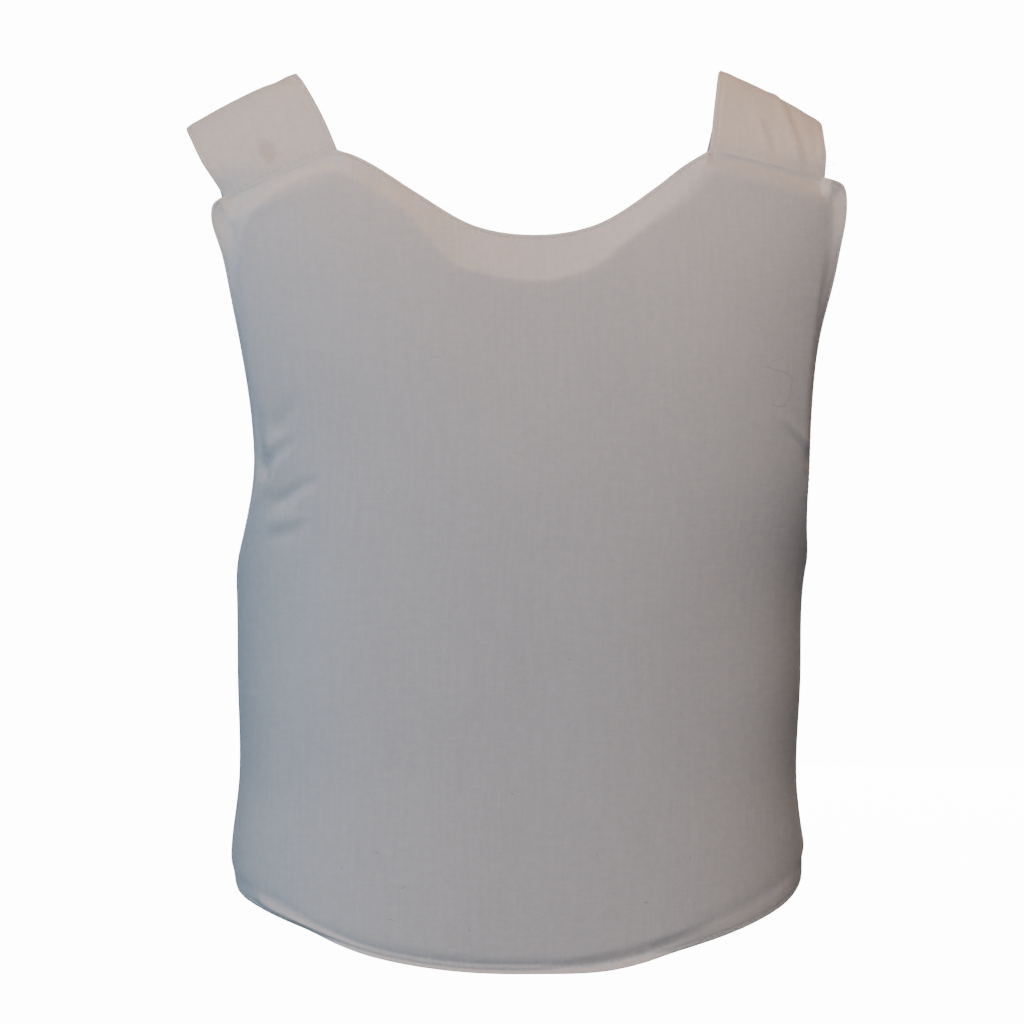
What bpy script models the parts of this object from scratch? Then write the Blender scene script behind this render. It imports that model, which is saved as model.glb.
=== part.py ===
"""Concealable soft armour vest: two padded panels, two shoulder straps and two side straps.

Metres, +Z up. The wearer faces -Y, and +X is the wearer's left. The origin lies midway between
the undersides of the two shoulder straps, where they cross the top of the shoulders.

Every piece is laid out on one form, the surface of the clothed torso that the vest hangs on.
A place on a panel is a girth, measured round the form from the panel's middle line, and a height.
"""
import bpy
import bmesh
import numpy as np

# Cloth, padding and the clearance between pieces
SEAM_THICKNESS = 0.0022
PACKAGE_THICKNESS = 0.0078
STRAP_THICKNESS = 0.0024
BAND_THICKNESS = 0.0020
SEAT_GAP = 0.0009

# Straps
STRAP_WIDTH = 0.0760
STRAP_CROWN = 0.0022
STRAP_TUCK = 0.0260
LAP_START = 0.0160
LAP_END = -0.1300
LAP_ROWS = 5
TUCK_ROWS = 3
LAP_SLANT = 0.5
BAND_MIDDLE = -0.3850
BAND_WIDTH = 0.0720
BAND_TUCK_GIRTH = 0.2300
BAND_LAP_GIRTH = 0.3600
BAND_RISE_START = 0.0020
BAND_RISE = 0.0200
BAND_STATIONS = 14

# The form, from the shoulder line down to the hem
FORM = (
    # height, half breadth, depth behind, depth in front, sideways shift of the middle
    (0.020, 0.222, 0.055, 0.055, -0.0010),
    (-0.040, 0.216, 0.080, 0.077, -0.0010),
    (-0.090, 0.206, 0.097, 0.097, -0.0020),
    (-0.150, 0.191, 0.108, 0.112, -0.0035),
    (-0.220, 0.176, 0.113, 0.120, -0.0050),
    (-0.290, 0.1640, 0.113, 0.120, -0.0005),
    (-0.350, 0.1622, 0.111, 0.118, 0.0000),
    (-0.410, 0.1612, 0.109, 0.116, 0.0005),
    (-0.450, 0.1655, 0.109, 0.115, 0.0010),
    (-0.530, 0.1670, 0.112, 0.117, 0.0020),
)
BACK_ROUNDNESS = 2.50
FRONT_ROUNDNESS = 2.35

# Outline of the back panel, from the middle outwards, with the wearer's two sides apart
BACK_HEM = (
    # left girth, left height, right girth, right height
    (0.000, -0.5125, 0.000, -0.5125),
    (0.045, -0.5105, 0.045, -0.5112),
    (0.090, -0.5030, 0.090, -0.5004),
    (0.130, -0.4897, 0.130, -0.4898),
    (0.165, -0.4805, 0.163, -0.4795),
    (0.200, -0.4735, 0.195, -0.4685),
    (0.232, -0.4650, 0.229, -0.4590),
    (0.255, -0.4480, 0.254, -0.4390),
    (0.263, -0.4200, 0.263, -0.4130),
)
BACK_ARMHOLE = (
    # left girth, left height, right girth, right height, from the side edge up to the strap
    (0.263, -0.3450, 0.263, -0.3420),
    (0.254, -0.3130, 0.253, -0.3120),
    (0.235, -0.2860, 0.230, -0.2860),
    (0.2136, -0.2660, 0.206, -0.2670),
    (0.194, -0.2490, 0.187, -0.2460),
    (0.1825, -0.2260, 0.179, -0.2230),
    (0.179, -0.1940, 0.175, -0.1930),
    (0.181, -0.1470, 0.178, -0.1460),
    (0.186, -0.1005, 0.1885, -0.0980),
    (0.192, -0.0770, 0.194, -0.0690),
    (0.190, -0.0680, 0.192, -0.0545),
    (0.1836, -0.0637, 0.180, -0.0500),
)
BACK_NECK = (
    # left girth, left height, right girth, right height, from the strap to the middle
    (0.1124, -0.0372, 0.1062, -0.0355),
    (0.100, -0.0418, 0.0907, -0.0450),
    (0.068, -0.0616, 0.072, -0.0587),
    (0.034, -0.0818, 0.036, -0.0807),
    (0.000, -0.0870, 0.000, -0.0870),
)

# Edge of the armour package inside the back panel, from the middle of the neck round to the hem
BACK_PACKAGE = (
    # left girth, left height, right girth, right height
    (0.000, -0.1165, 0.000, -0.1165),
    (0.030, -0.1127, 0.031, -0.1095),
    (0.048, -0.1065, 0.052, -0.0942),
    (0.060, -0.0936, 0.072, -0.0795),
    (0.075, -0.0760, 0.091, -0.0665),
    (0.093, -0.0640, 0.108, -0.0500),
    (0.112, -0.0530, 0.123, -0.0445),
    (0.130, -0.0550, 0.141, -0.0489),
    (0.150, -0.0650, 0.163, -0.0565),
    (0.165, -0.0790, 0.1765, -0.0680),
    (0.171, -0.0972, 0.175, -0.0894),
    (0.170, -0.1400, 0.167, -0.1400),
    (0.167, -0.1950, 0.163, -0.1950),
    (0.170, -0.2300, 0.167, -0.2300),
    (0.184, -0.2580, 0.178, -0.2580),
    (0.206, -0.2800, 0.203, -0.2800),
    (0.232, -0.3030, 0.232, -0.3030),
    (0.247, -0.3300, 0.247, -0.3300),
    (0.252, -0.3800, 0.252, -0.3800),
    (0.249, -0.4230, 0.246, -0.4120),
    (0.232, -0.4480, 0.228, -0.4340),
    (0.205, -0.4600, 0.195, -0.4520),
    (0.176, -0.4670, 0.163, -0.4675),
    (0.159, -0.4765, 0.128, -0.4790),
    (0.135, -0.4845, 0.090, -0.4900),
    (0.090, -0.4985, 0.045, -0.5005),
    (0.045, -0.5060, 0.020, -0.5060),
    (0.000, -0.5080, 0.000, -0.5080),
)

# Outline of the front panel, the same on both sides
FRONT_HEM = (
    # girth, height
    (0.000, -0.5030),
    (0.045, -0.5015),
    (0.085, -0.4950),
    (0.118, -0.4840),
    (0.144, -0.4690),
    (0.159, -0.4470),
    (0.164, -0.4200),
)
FRONT_ARMHOLE = (
    # girth, height, from the side edge up to the strap
    (0.164, -0.3480),
    (0.162, -0.3180),
    (0.158, -0.2850),
    (0.155, -0.2450),
    (0.156, -0.2050),
    (0.162, -0.1600),
    (0.174, -0.1200),
    (0.181, -0.1040),
    (0.1765, -0.0950),
)
FRONT_NECK = (
    # girth, height, from the strap to the middle
    (0.1015, -0.0720),
    (0.090, -0.0800),
    (0.067, -0.1020),
    (0.036, -0.1240),
    (0.000, -0.1310),
)

# Edge of the armour package inside the front panel
FRONT_PACKAGE = (
    # girth, height, from the middle of the neck round to the hem
    (0.000, -0.1560),
    (0.042, -0.1460),
    (0.074, -0.1200),
    (0.102, -0.0920),
    (0.130, -0.0930),
    (0.160, -0.1040),
    (0.165, -0.1240),
    (0.150, -0.1640),
    (0.144, -0.2050),
    (0.143, -0.2450),
    (0.148, -0.3000),
    (0.152, -0.3500),
    (0.152, -0.4200),
    (0.146, -0.4450),
    (0.132, -0.4620),
    (0.085, -0.4840),
    (0.000, -0.4930),
)

# Soft folds that run from the back panel's armholes towards its middle
FOLDS = (
    # outer girth, outer height, inner girth, inner height, half width, depth
    (0.168, -0.2050, 0.136, -0.1800, 0.0070, 0.0016),
    (0.172, -0.2330, 0.140, -0.2060, 0.0070, 0.0018),
    (0.172, -0.2500, 0.128, -0.2290, 0.0065, 0.0016),
    (0.178, -0.2680, 0.124, -0.2480, 0.0070, 0.0016),
    (-0.174, -0.2160, -0.140, -0.1930, 0.0065, 0.0014),
)

FOLD_FADE = 0.6
TINY = 1e-9

# The shoulder straps' middle line between the two panels
STRAP_PATH = (
    # place front to back, left middle, left height, left width, right middle, right height, right width, slope
    (0.052, 0.1545, -0.0300, 0.0757, -0.1455, -0.0230, 0.0735, 0.460),
    (0.030, 0.1637, -0.0105, 0.0755, -0.1490, -0.0030, 0.0712, 0.500),
    (0.006, 0.1674, -0.0020, 0.0746, -0.1525, 0.0030, 0.0696, 0.510),
    (-0.020, 0.1640, -0.0040, 0.0750, -0.1560, 0.0000, 0.0700, 0.480),
    (-0.048, 0.1515, -0.0220, 0.0755, -0.1580, -0.0200, 0.0720, 0.440),
    (-0.068, 0.1440, -0.0480, 0.0760, -0.1550, -0.0470, 0.0745, 0.400),
)

# How finely the pieces are laid out
NECK_COLUMNS, TAB_COLUMNS, SIDE_COLUMNS = 6, 4, 14
PANEL_ROWS = 21
STRAP_COLUMNS = 4
ACROSS = np.linspace(-0.5, 0.5, STRAP_COLUMNS + 1)
STRAP_ROWS = 38
BAND_ROWS = 18
CURVE_STEPS = 12
END_EASE = 0.125


def smooth_step(share):
    """Rise from 0 to 1 with level ends."""
    share = np.clip(share, 0.0, 1.0)
    return share * share * (3.0 - 2.0 * share)


def curve_through(points, steps=CURVE_STEPS):
    """Points along a smooth curve that passes through the given ones, evenly paced by chord."""
    points = np.asarray(points, dtype=float)
    before = 2.0 * points[0] - points[1]
    after = 2.0 * points[-1] - points[-2]
    padded = np.vstack([before, points, after])
    places = []
    for p0, p1, p2, p3 in zip(padded, padded[1:], padded[2:], padded[3:]):
        d0, d1, d2 = (np.linalg.norm(b - a) ** 0.5 for a, b in ((p0, p1), (p1, p2), (p2, p3)))
        start = (p2 - p1) + d1 * ((p1 - p0) / d0 - (p2 - p0) / (d0 + d1))
        end = (p2 - p1) + d1 * ((p3 - p2) / d2 - (p3 - p1) / (d1 + d2))
        for step in range(steps):
            t = step / steps
            places.append(p1 + start * t
                          + (3.0 * (p2 - p1) - 2.0 * start - end) * t ** 2
                          + (2.0 * (p1 - p2) + start + end) * t ** 3)
    places.append(points[-1])
    return np.array(places)


def running_length(points):
    """Length along a line of points, up to each of them."""
    steps = np.linalg.norm(np.diff(points, axis=0), axis=1)
    return np.concatenate([[0.0], np.cumsum(steps)])


def along(points, shares):
    """Points at the given shares of a line's length."""
    run = running_length(points)
    wanted = np.asarray(shares) * run[-1]
    return np.stack([np.interp(wanted, run, points[:, axis]) for axis in range(points.shape[1])], axis=-1)


def eased(count):
    """Shares from 0 to 1 that lie closer together at both ends."""
    t = np.linspace(0.0, 1.0, count + 1)
    return t - END_EASE * np.sin(2.0 * np.pi * t)


# The form as a table of girths and heights, worked out once for each of its two middles
FORM_STEP = 0.002
GIRTH_STEP = 0.001
GIRTH_REACH = 0.420
FORM_TOP = 0.020
FORM_BOTTOM = -0.530
ANGLE_COUNT = 1441
FORM_ANGLES = np.linspace(0.0, np.pi, ANGLE_COUNT)
NORMAL_REACH = 0.003


def form_rows():
    """The form's measures at every height of the table, smoothed between the rows of FORM."""
    rows = np.array(FORM)[::-1]
    heights = np.arange(FORM_BOTTOM, FORM_TOP + FORM_STEP / 2.0, FORM_STEP)
    slopes = np.gradient(rows[:, 1:], rows[:, 0], axis=0)
    index = np.clip(np.searchsorted(rows[:, 0], heights, side="right") - 1, 0, len(rows) - 2)
    span = (rows[index + 1, 0] - rows[index, 0])[:, None]
    t = ((heights - rows[index, 0])[:, None]) / span
    low, high = rows[index, 1:], rows[index + 1, 1:]
    measures = (low * (2.0 * t ** 3 - 3.0 * t ** 2 + 1.0)
                + high * (3.0 * t ** 2 - 2.0 * t ** 3)
                + slopes[index] * span * (t ** 3 - 2.0 * t ** 2 + t)
                + slopes[index + 1] * span * (t ** 3 - t ** 2))
    return heights, measures


def form_table(front):
    """Places on the form for each height and each girth from the middle of the back or the front."""
    heights, measures = form_rows()
    girths = np.arange(0.0, GIRTH_REACH, GIRTH_STEP)
    table = np.zeros((len(heights), len(girths), 2))
    near = FORM_ANGLES <= np.pi / 2.0
    sine = np.abs(np.sin(FORM_ANGLES))
    cosine = np.cos(FORM_ANGLES)
    near_round, far_round = (FRONT_ROUNDNESS, BACK_ROUNDNESS) if front else (BACK_ROUNDNESS, FRONT_ROUNDNESS)
    roundness = np.where(near, near_round, far_round)
    for number, (breadth, behind, ahead, _shift) in enumerate(measures):
        near_depth, far_depth = (ahead, behind) if front else (behind, ahead)
        depth = np.where(near, near_depth, far_depth)
        ring = np.stack([breadth * sine ** (2.0 / roundness),
                         depth * np.sign(cosine) * np.abs(cosine) ** (2.0 / roundness)], axis=-1)
        run = running_length(ring)
        table[number, :, 0] = np.interp(girths, run, ring[:, 0])
        table[number, :, 1] = np.interp(girths, run, ring[:, 1])
    return table, measures[:, 3]


FORM_TABLES = {front: form_table(front) for front in (False, True)}


def on_form(girth, height, front=False):
    """Places on the form, for arrays of girths and heights. A positive girth is the wearer's left."""
    girth, height = np.broadcast_arrays(np.asarray(girth, dtype=float), np.asarray(height, dtype=float))
    table, shifts = FORM_TABLES[front]
    row = np.clip((height - FORM_BOTTOM) / FORM_STEP, 0.0, table.shape[0] - 1.001)
    column = np.clip(np.abs(girth) / GIRTH_STEP, 0.0, table.shape[1] - 1.001)
    i, j = row.astype(int), column.astype(int)
    u, v = (row - i)[..., None], (column - j)[..., None]
    flat = ((table[i, j] * (1.0 - v) + table[i, j + 1] * v) * (1.0 - u)
            + (table[i + 1, j] * (1.0 - v) + table[i + 1, j + 1] * v) * u)
    shift = shifts[i] * (1.0 - u[..., 0]) + shifts[i + 1] * u[..., 0]
    x = flat[..., 0] * np.where(girth < 0.0, -1.0, 1.0) + shift
    y = flat[..., 1] * (-1.0 if front else 1.0)
    return np.stack([x, y, height], axis=-1)


def form_normal(girth, height, front=False):
    """Directions straight out of the form."""
    across = on_form(girth + NORMAL_REACH, height, front) - on_form(girth - NORMAL_REACH, height, front)
    upward = on_form(girth, height + NORMAL_REACH, front) - on_form(girth, height - NORMAL_REACH, front)
    normal = np.cross(upward, across)
    if front:
        normal = -normal
    return normal / np.linalg.norm(normal, axis=-1, keepdims=True)


def half_line(rows, sign):
    """One side's girths and heights of a table, which has two columns, or four for two unlike sides."""
    table = np.array(rows)
    first = 2 if sign < 0.0 and table.shape[1] == 4 else 0
    return table[:, first:first + 2]


def from_middle(rows):
    """A smooth line that leaves the panel's middle level, on one side."""
    mirrored = rows[1] * np.array([-1.0, 1.0])
    return curve_through(np.vstack([mirrored, rows]))[CURVE_STEPS:]


def panel_outline(hem, armhole, neck):
    """A panel's hem, neckline and armhole for each side, from the middle outwards."""
    sides = {}
    for sign in (1.0, -1.0):
        lower = from_middle(half_line(hem, sign))
        scoop = from_middle(half_line(neck, sign)[::-1])
        arm = curve_through(half_line(armhole, sign))[::-1]
        sides[sign] = (lower, scoop, arm)
    return sides


def side_grid(lower, scoop, arm):
    """Girths and heights of one half of a panel: rows from the hem up, columns from the middle out."""
    seam = np.vstack([scoop[-1], arm[0]])
    lengths = [running_length(line)[-1] for line in (scoop, seam, arm)]
    total = sum(lengths)
    neck_shares = np.linspace(0.0, 1.0, NECK_COLUMNS + 1)
    tab_shares = np.linspace(0.0, 1.0, TAB_COLUMNS + 1)[1:]
    arm_shares = eased(SIDE_COLUMNS)[1:]
    upper = np.vstack([along(scoop, neck_shares), along(seam, tab_shares), along(arm, arm_shares)])
    shares = np.concatenate([neck_shares * lengths[0],
                             lengths[0] + tab_shares * lengths[1],
                             lengths[0] + lengths[1] + arm_shares * lengths[2]]) / total
    bottom = along(lower, shares)
    t = eased(PANEL_ROWS)[:, None, None]
    return bottom[None] * (1.0 - t) + upper[None] * t


def panel_grid(sides):
    """Girths and heights of a whole panel, from the wearer's right to the left."""
    left = side_grid(*sides[1.0])
    right = side_grid(*sides[-1.0])[:, ::-1]
    right = right * np.array([-1.0, 1.0])
    return np.concatenate([right, left[:, 1:]], axis=1)


def closed_loop(left, right):
    """A whole closed line from its two sides, which both start and end at the middle."""
    return np.vstack([left, right[::-1] * np.array([-1.0, 1.0])])


def outline_loop(sides):
    """The panel's whole outline as one closed line of girths and heights."""
    halves = [np.vstack([lower, arm[::-1], scoop[::-1]]) for lower, scoop, arm in (sides[1.0], sides[-1.0])]
    return closed_loop(*halves)


def package_loop(rows):
    """The armour package's edge as one closed line."""
    halves = []
    for sign in (1.0, -1.0):
        half = half_line(rows, sign)
        flip = np.array([-1.0, 1.0])
        whole = curve_through(np.vstack([half[1] * flip, half, half[-2] * flip]))
        halves.append(whole[CURVE_STEPS:-CURVE_STEPS])
    return closed_loop(*halves)


def inside(loop, places):
    """Which places lie inside a closed line."""
    girth, height = places[..., 0], places[..., 1]
    crossings = np.zeros(girth.shape, dtype=int)
    for (g0, h0), (g1, h1) in zip(loop[:-1], loop[1:]):
        if h0 == h1:
            continue
        spans = (h0 <= height) != (h1 <= height)
        crossings += spans & (girth < g0 + (height - h0) * (g1 - g0) / (h1 - h0))
    return crossings % 2 == 1


def distance_to(line, places):
    """Shortest distance from each place to a line of points."""
    flat = places.reshape(-1, 2)
    starts, ends = line[:-1], line[1:]
    ways = ends - starts
    squares = np.maximum((ways ** 2).sum(axis=1), 1e-12)
    offset = flat[:, None] - starts[None]
    share = np.clip((offset * ways).sum(axis=2) / squares, 0.0, 1.0)
    gaps = np.linalg.norm(offset - share[..., None] * ways, axis=2)
    return gaps.min(axis=1).reshape(places.shape[:-1])


def panel_thickness(outline, package, places):
    """Thickness at each place: thin at the sewn edge, rising evenly to the edge of the package."""
    from_edge = distance_to(outline, places)
    from_package = np.where(inside(package, places), 0.0, distance_to(package, places))
    rise = from_edge / np.maximum(from_edge + from_package, TINY)
    return SEAM_THICKNESS + (PACKAGE_THICKNESS - SEAM_THICKNESS) * rise


def fold_depth(places):
    """How far the folds press the back panel's face in."""
    depth = np.zeros(places.shape[:-1])
    for outer_girth, outer_height, inner_girth, inner_height, half_width, fold in FOLDS:
        line = np.array([(outer_girth, outer_height), (inner_girth, inner_height)])
        way = line[1] - line[0]
        share = np.clip(((places - line[0]) @ way) / (way @ way), 0.0, 1.0)
        near = np.exp(-(distance_to(line, places) / half_width) ** 2)
        depth += fold * near * (1.0 - FOLD_FADE * share)
    return depth


def cloth(name, colour, roughness):
    """A plain woven material."""
    material = bpy.data.materials.new(name)
    material.use_nodes = True
    shader = material.node_tree.nodes["Principled BSDF"]
    shader.inputs["Base Color"].default_value = (*colour, 1.0)
    shader.inputs["Roughness"].default_value = roughness
    shader.inputs["Metallic"].default_value = 0.0
    return material


def solid_between(name, inner, outer, material):
    """One closed solid between two grids of points that have the same rows and columns."""
    rows, columns = inner.shape[:2]
    shape = bmesh.new()
    bmesh.ops.create_grid(shape, x_segments=columns - 1, y_segments=rows - 1, size=0.5)
    place = shape.verts.layers.int.new("place")
    shape.verts.ensure_lookup_table()
    inner_points, outer_points = inner.reshape(-1, 3), outer.reshape(-1, 3)
    for number, vertex in enumerate(shape.verts):
        vertex[place] = number
        vertex.co = inner_points[number]
    wall = bmesh.ops.extrude_face_region(shape, geom=shape.faces[:], use_keep_orig=True)
    for item in wall["geom"]:
        if isinstance(item, bmesh.types.BMVert):
            item.co = outer_points[item[place]]
    bmesh.ops.recalc_face_normals(shape, faces=shape.faces[:])
    mesh = bpy.data.meshes.new(name)
    shape.to_mesh(mesh)
    shape.free()
    mesh.materials.append(material)
    mesh.shade_smooth()
    piece = bpy.data.objects.new(name, mesh)
    bpy.context.scene.collection.objects.link(piece)
    return piece


def make_panel(name, sides, package, material, front=False):
    """A padded panel, its inner face on the form and its outer face over the armour package."""
    places = panel_grid(sides)
    thickness = panel_thickness(outline_loop(sides), package, places)
    if not front:
        thickness = np.maximum(thickness - fold_depth(places), SEAM_THICKNESS)
    inner = on_form(places[..., 0], places[..., 1], front)
    outward = form_normal(places[..., 0], places[..., 1], front)
    return solid_between(name, inner, inner + outward * thickness[..., None], material)


def grid_normal(grid):
    """Directions straight out of a grid whose rows run along a strap and columns across it."""
    along_strap = np.gradient(grid, axis=0)
    across_strap = np.gradient(grid, axis=1)
    normal = np.cross(across_strap, along_strap)
    return normal / np.linalg.norm(normal, axis=-1, keepdims=True)


def make_strap(name, lanes, thickness, rows, material, sign):
    """A flat strap through lanes of points that run along it, thickened away from the wearer."""
    shares = np.linspace(0.0, 1.0, rows + 1)
    underside = np.stack([along(curve_through(lane), shares) for lane in lanes], axis=1)
    outward = grid_normal(underside) * -sign
    return solid_between(name, underside, underside + outward * thickness, material)


def strap_ends(sides, sign):
    """Where a strap crosses a panel's seam: the middle, and the way across it, outwards."""
    neck_end, arm_end = sides[sign][1][-1], sides[sign][2][0]
    way = (arm_end - neck_end) / np.linalg.norm(arm_end - neck_end)
    return (neck_end + arm_end) / 2.0, way


def tucked_rows(sides, sign):
    """The stretch of a shoulder strap under the back panel's top seam."""
    middle, way = strap_ends(sides, sign)
    down = np.array([way[1], -way[0]])
    rows = []
    for drop in np.linspace(STRAP_TUCK, 0.0, TUCK_ROWS):
        places = middle + down * drop + way * ACROSS[:, None] * STRAP_WIDTH
        girths, heights = sign * places[:, 0], places[:, 1]
        outward = form_normal(girths, heights)
        rows.append(on_form(girths, heights) - outward * (SEAT_GAP + STRAP_THICKNESS))
    return rows


def free_rows(sign):
    """The stretch of a shoulder strap between the two panels."""
    rows = []
    for y, left_x, left_z, left_width, right_x, right_z, right_width, slope in STRAP_PATH:
        x, z, width = (left_x, left_z, left_width) if sign > 0 else (right_x, right_z, right_width)
        reach = ACROSS * width / np.hypot(1.0, slope)
        crown = STRAP_CROWN * (1.0 - 4.0 * ACROSS ** 2)
        rows.append(np.stack([x + sign * reach, np.full(len(reach), y), z - slope * reach + crown], axis=-1))
    return rows


def lapped_rows(sides, package, sign):
    """The stretch of a shoulder strap on the front panel's face."""
    outline = outline_loop(sides)
    middle, way = strap_ends(sides, sign)
    girths = sign * (middle[0] + ACROSS * STRAP_WIDTH)
    rows = []
    for height in np.linspace(middle[1] - LAP_START, LAP_END, LAP_ROWS):
        heights = height + ACROSS * STRAP_WIDTH * way[1] * LAP_SLANT
        places = np.stack([girths, heights], axis=-1)
        raised = panel_thickness(outline, package, places).max() + SEAT_GAP
        rows.append(on_form(girths, heights, True) + form_normal(girths, heights, True) * raised)
    return rows


def make_shoulder_strap(name, sign, back, front, front_package, material):
    """A shoulder strap from under the back panel's seam to the front panel's face."""
    rows = tucked_rows(back, sign) + free_rows(sign) + lapped_rows(front, front_package, sign)
    lanes = np.stack(rows, axis=1)
    return make_strap(name, lanes, STRAP_THICKNESS, STRAP_ROWS, material, sign)


def make_side_strap(name, sign, material):
    """An elastic band from under the back panel's wing to the front panel's face."""
    girths = np.linspace(BAND_TUCK_GIRTH, BAND_LAP_GIRTH, BAND_STATIONS)
    under = -(SEAT_GAP + BAND_THICKNESS)
    over = PACKAGE_THICKNESS + SEAT_GAP
    past_edge = girths - BACK_ARMHOLE[0][0] - BAND_RISE_START
    raised = under + (over - under) * smooth_step(past_edge / BAND_RISE)
    lanes = []
    for share in ACROSS:
        heights = np.full(len(girths), BAND_MIDDLE - share * BAND_WIDTH)
        surface = on_form(sign * girths, heights)
        lanes.append(surface + form_normal(sign * girths, heights) * raised[:, None])
    return make_strap(name, lanes, BAND_THICKNESS, BAND_ROWS, material, sign)


def main():
    for old in list(bpy.data.objects):
        bpy.data.objects.remove(old)
    carrier = cloth("carrier_cloth", (0.62, 0.59, 0.57), 0.85)
    webbing = cloth("strap_cloth", (0.66, 0.62, 0.59), 0.85)
    elastic = cloth("elastic_band", (0.60, 0.57, 0.55), 0.80)
    back = panel_outline(BACK_HEM, BACK_ARMHOLE, BACK_NECK)
    front = panel_outline(FRONT_HEM, FRONT_ARMHOLE, FRONT_NECK)
    front_package = package_loop(FRONT_PACKAGE)
    make_panel("back_panel", back, package_loop(BACK_PACKAGE), carrier)
    make_panel("front_panel", front, front_package, carrier, front=True)
    for side, sign in (("left", 1.0), ("right", -1.0)):
        make_shoulder_strap(f"shoulder_strap_{side}", sign, back, front, front_package, webbing)
        make_side_strap(f"side_strap_{side}", sign, elastic)


main()
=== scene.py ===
# %% [markdown]
# # A concealable soft armour vest, seen from behind
# The vest is two padded panels, two shoulder straps and two elastic side straps.
# It keeps the shape of the torso that it was worn on.
# The CAD model gives every size and place, and this script gives the cloth its looks.

import bpy
import numpy as np
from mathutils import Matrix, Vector
from mathutils.geometry import delaunay_2d_cdt
from mathutils.kdtree import KDTree


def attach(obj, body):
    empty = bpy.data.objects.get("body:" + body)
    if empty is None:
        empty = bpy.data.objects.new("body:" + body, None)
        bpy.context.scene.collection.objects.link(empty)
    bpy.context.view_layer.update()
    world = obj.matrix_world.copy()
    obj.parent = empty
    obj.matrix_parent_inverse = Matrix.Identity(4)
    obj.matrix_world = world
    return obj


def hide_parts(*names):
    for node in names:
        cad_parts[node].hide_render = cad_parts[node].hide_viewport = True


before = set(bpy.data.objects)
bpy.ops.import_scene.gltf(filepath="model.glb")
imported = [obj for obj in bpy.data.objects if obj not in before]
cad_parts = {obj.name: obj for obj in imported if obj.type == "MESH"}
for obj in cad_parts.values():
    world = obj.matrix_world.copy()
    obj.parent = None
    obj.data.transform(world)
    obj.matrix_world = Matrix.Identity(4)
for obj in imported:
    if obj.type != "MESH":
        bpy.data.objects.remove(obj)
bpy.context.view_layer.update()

# %% [markdown]
# The camera stands 1.9 m behind the wearer, level with the middle of the back, and four
# degrees off to one side. A long lens keeps the vest's sides from spreading.

# %% The camera
camera_data = bpy.data.cameras.new("photo_camera")
camera_data.sensor_width = 36.0
camera_data.lens = 109.75
camera = bpy.data.objects.new("photo_camera", camera_data)
camera.location = (0.1368, 1.8951, -0.248)
camera.rotation_euler = (np.radians(90.0), 0.0, np.radians(176.0))
bpy.context.scene.collection.objects.link(camera)
bpy.context.scene.camera = camera
print("camera lens", camera_data.lens)

# %% [markdown]
# Shader maths is easier to read as sums. A wire stands for one output of a node, and each
# sum on wires adds its own Math node.

# %% Wires
class Wire:
    """One output of a node, which takes part in sums."""

    def __init__(self, finish, socket):
        self.finish = finish
        self.socket = socket

    def sum(self, operation, first, second):
        return self.finish.node("ShaderNodeMath", {"operation": operation}, {0: first, 1: second})

    def __add__(self, other):
        return self.sum("ADD", self, other)

    def __radd__(self, other):
        return self.sum("ADD", other, self)

    def __sub__(self, other):
        return self.sum("SUBTRACT", self, other)

    def __rsub__(self, other):
        return self.sum("SUBTRACT", other, self)

    def __mul__(self, other):
        return self.sum("MULTIPLY", self, other)

    def __abs__(self):
        return self.sum("ABSOLUTE", self, 0.0)


print("wires add, subtract and multiply")

# %% [markdown]
# A finish is a material while it is being built. It has one shader, and a helper for each
# kind of node that the cloths need.

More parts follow.
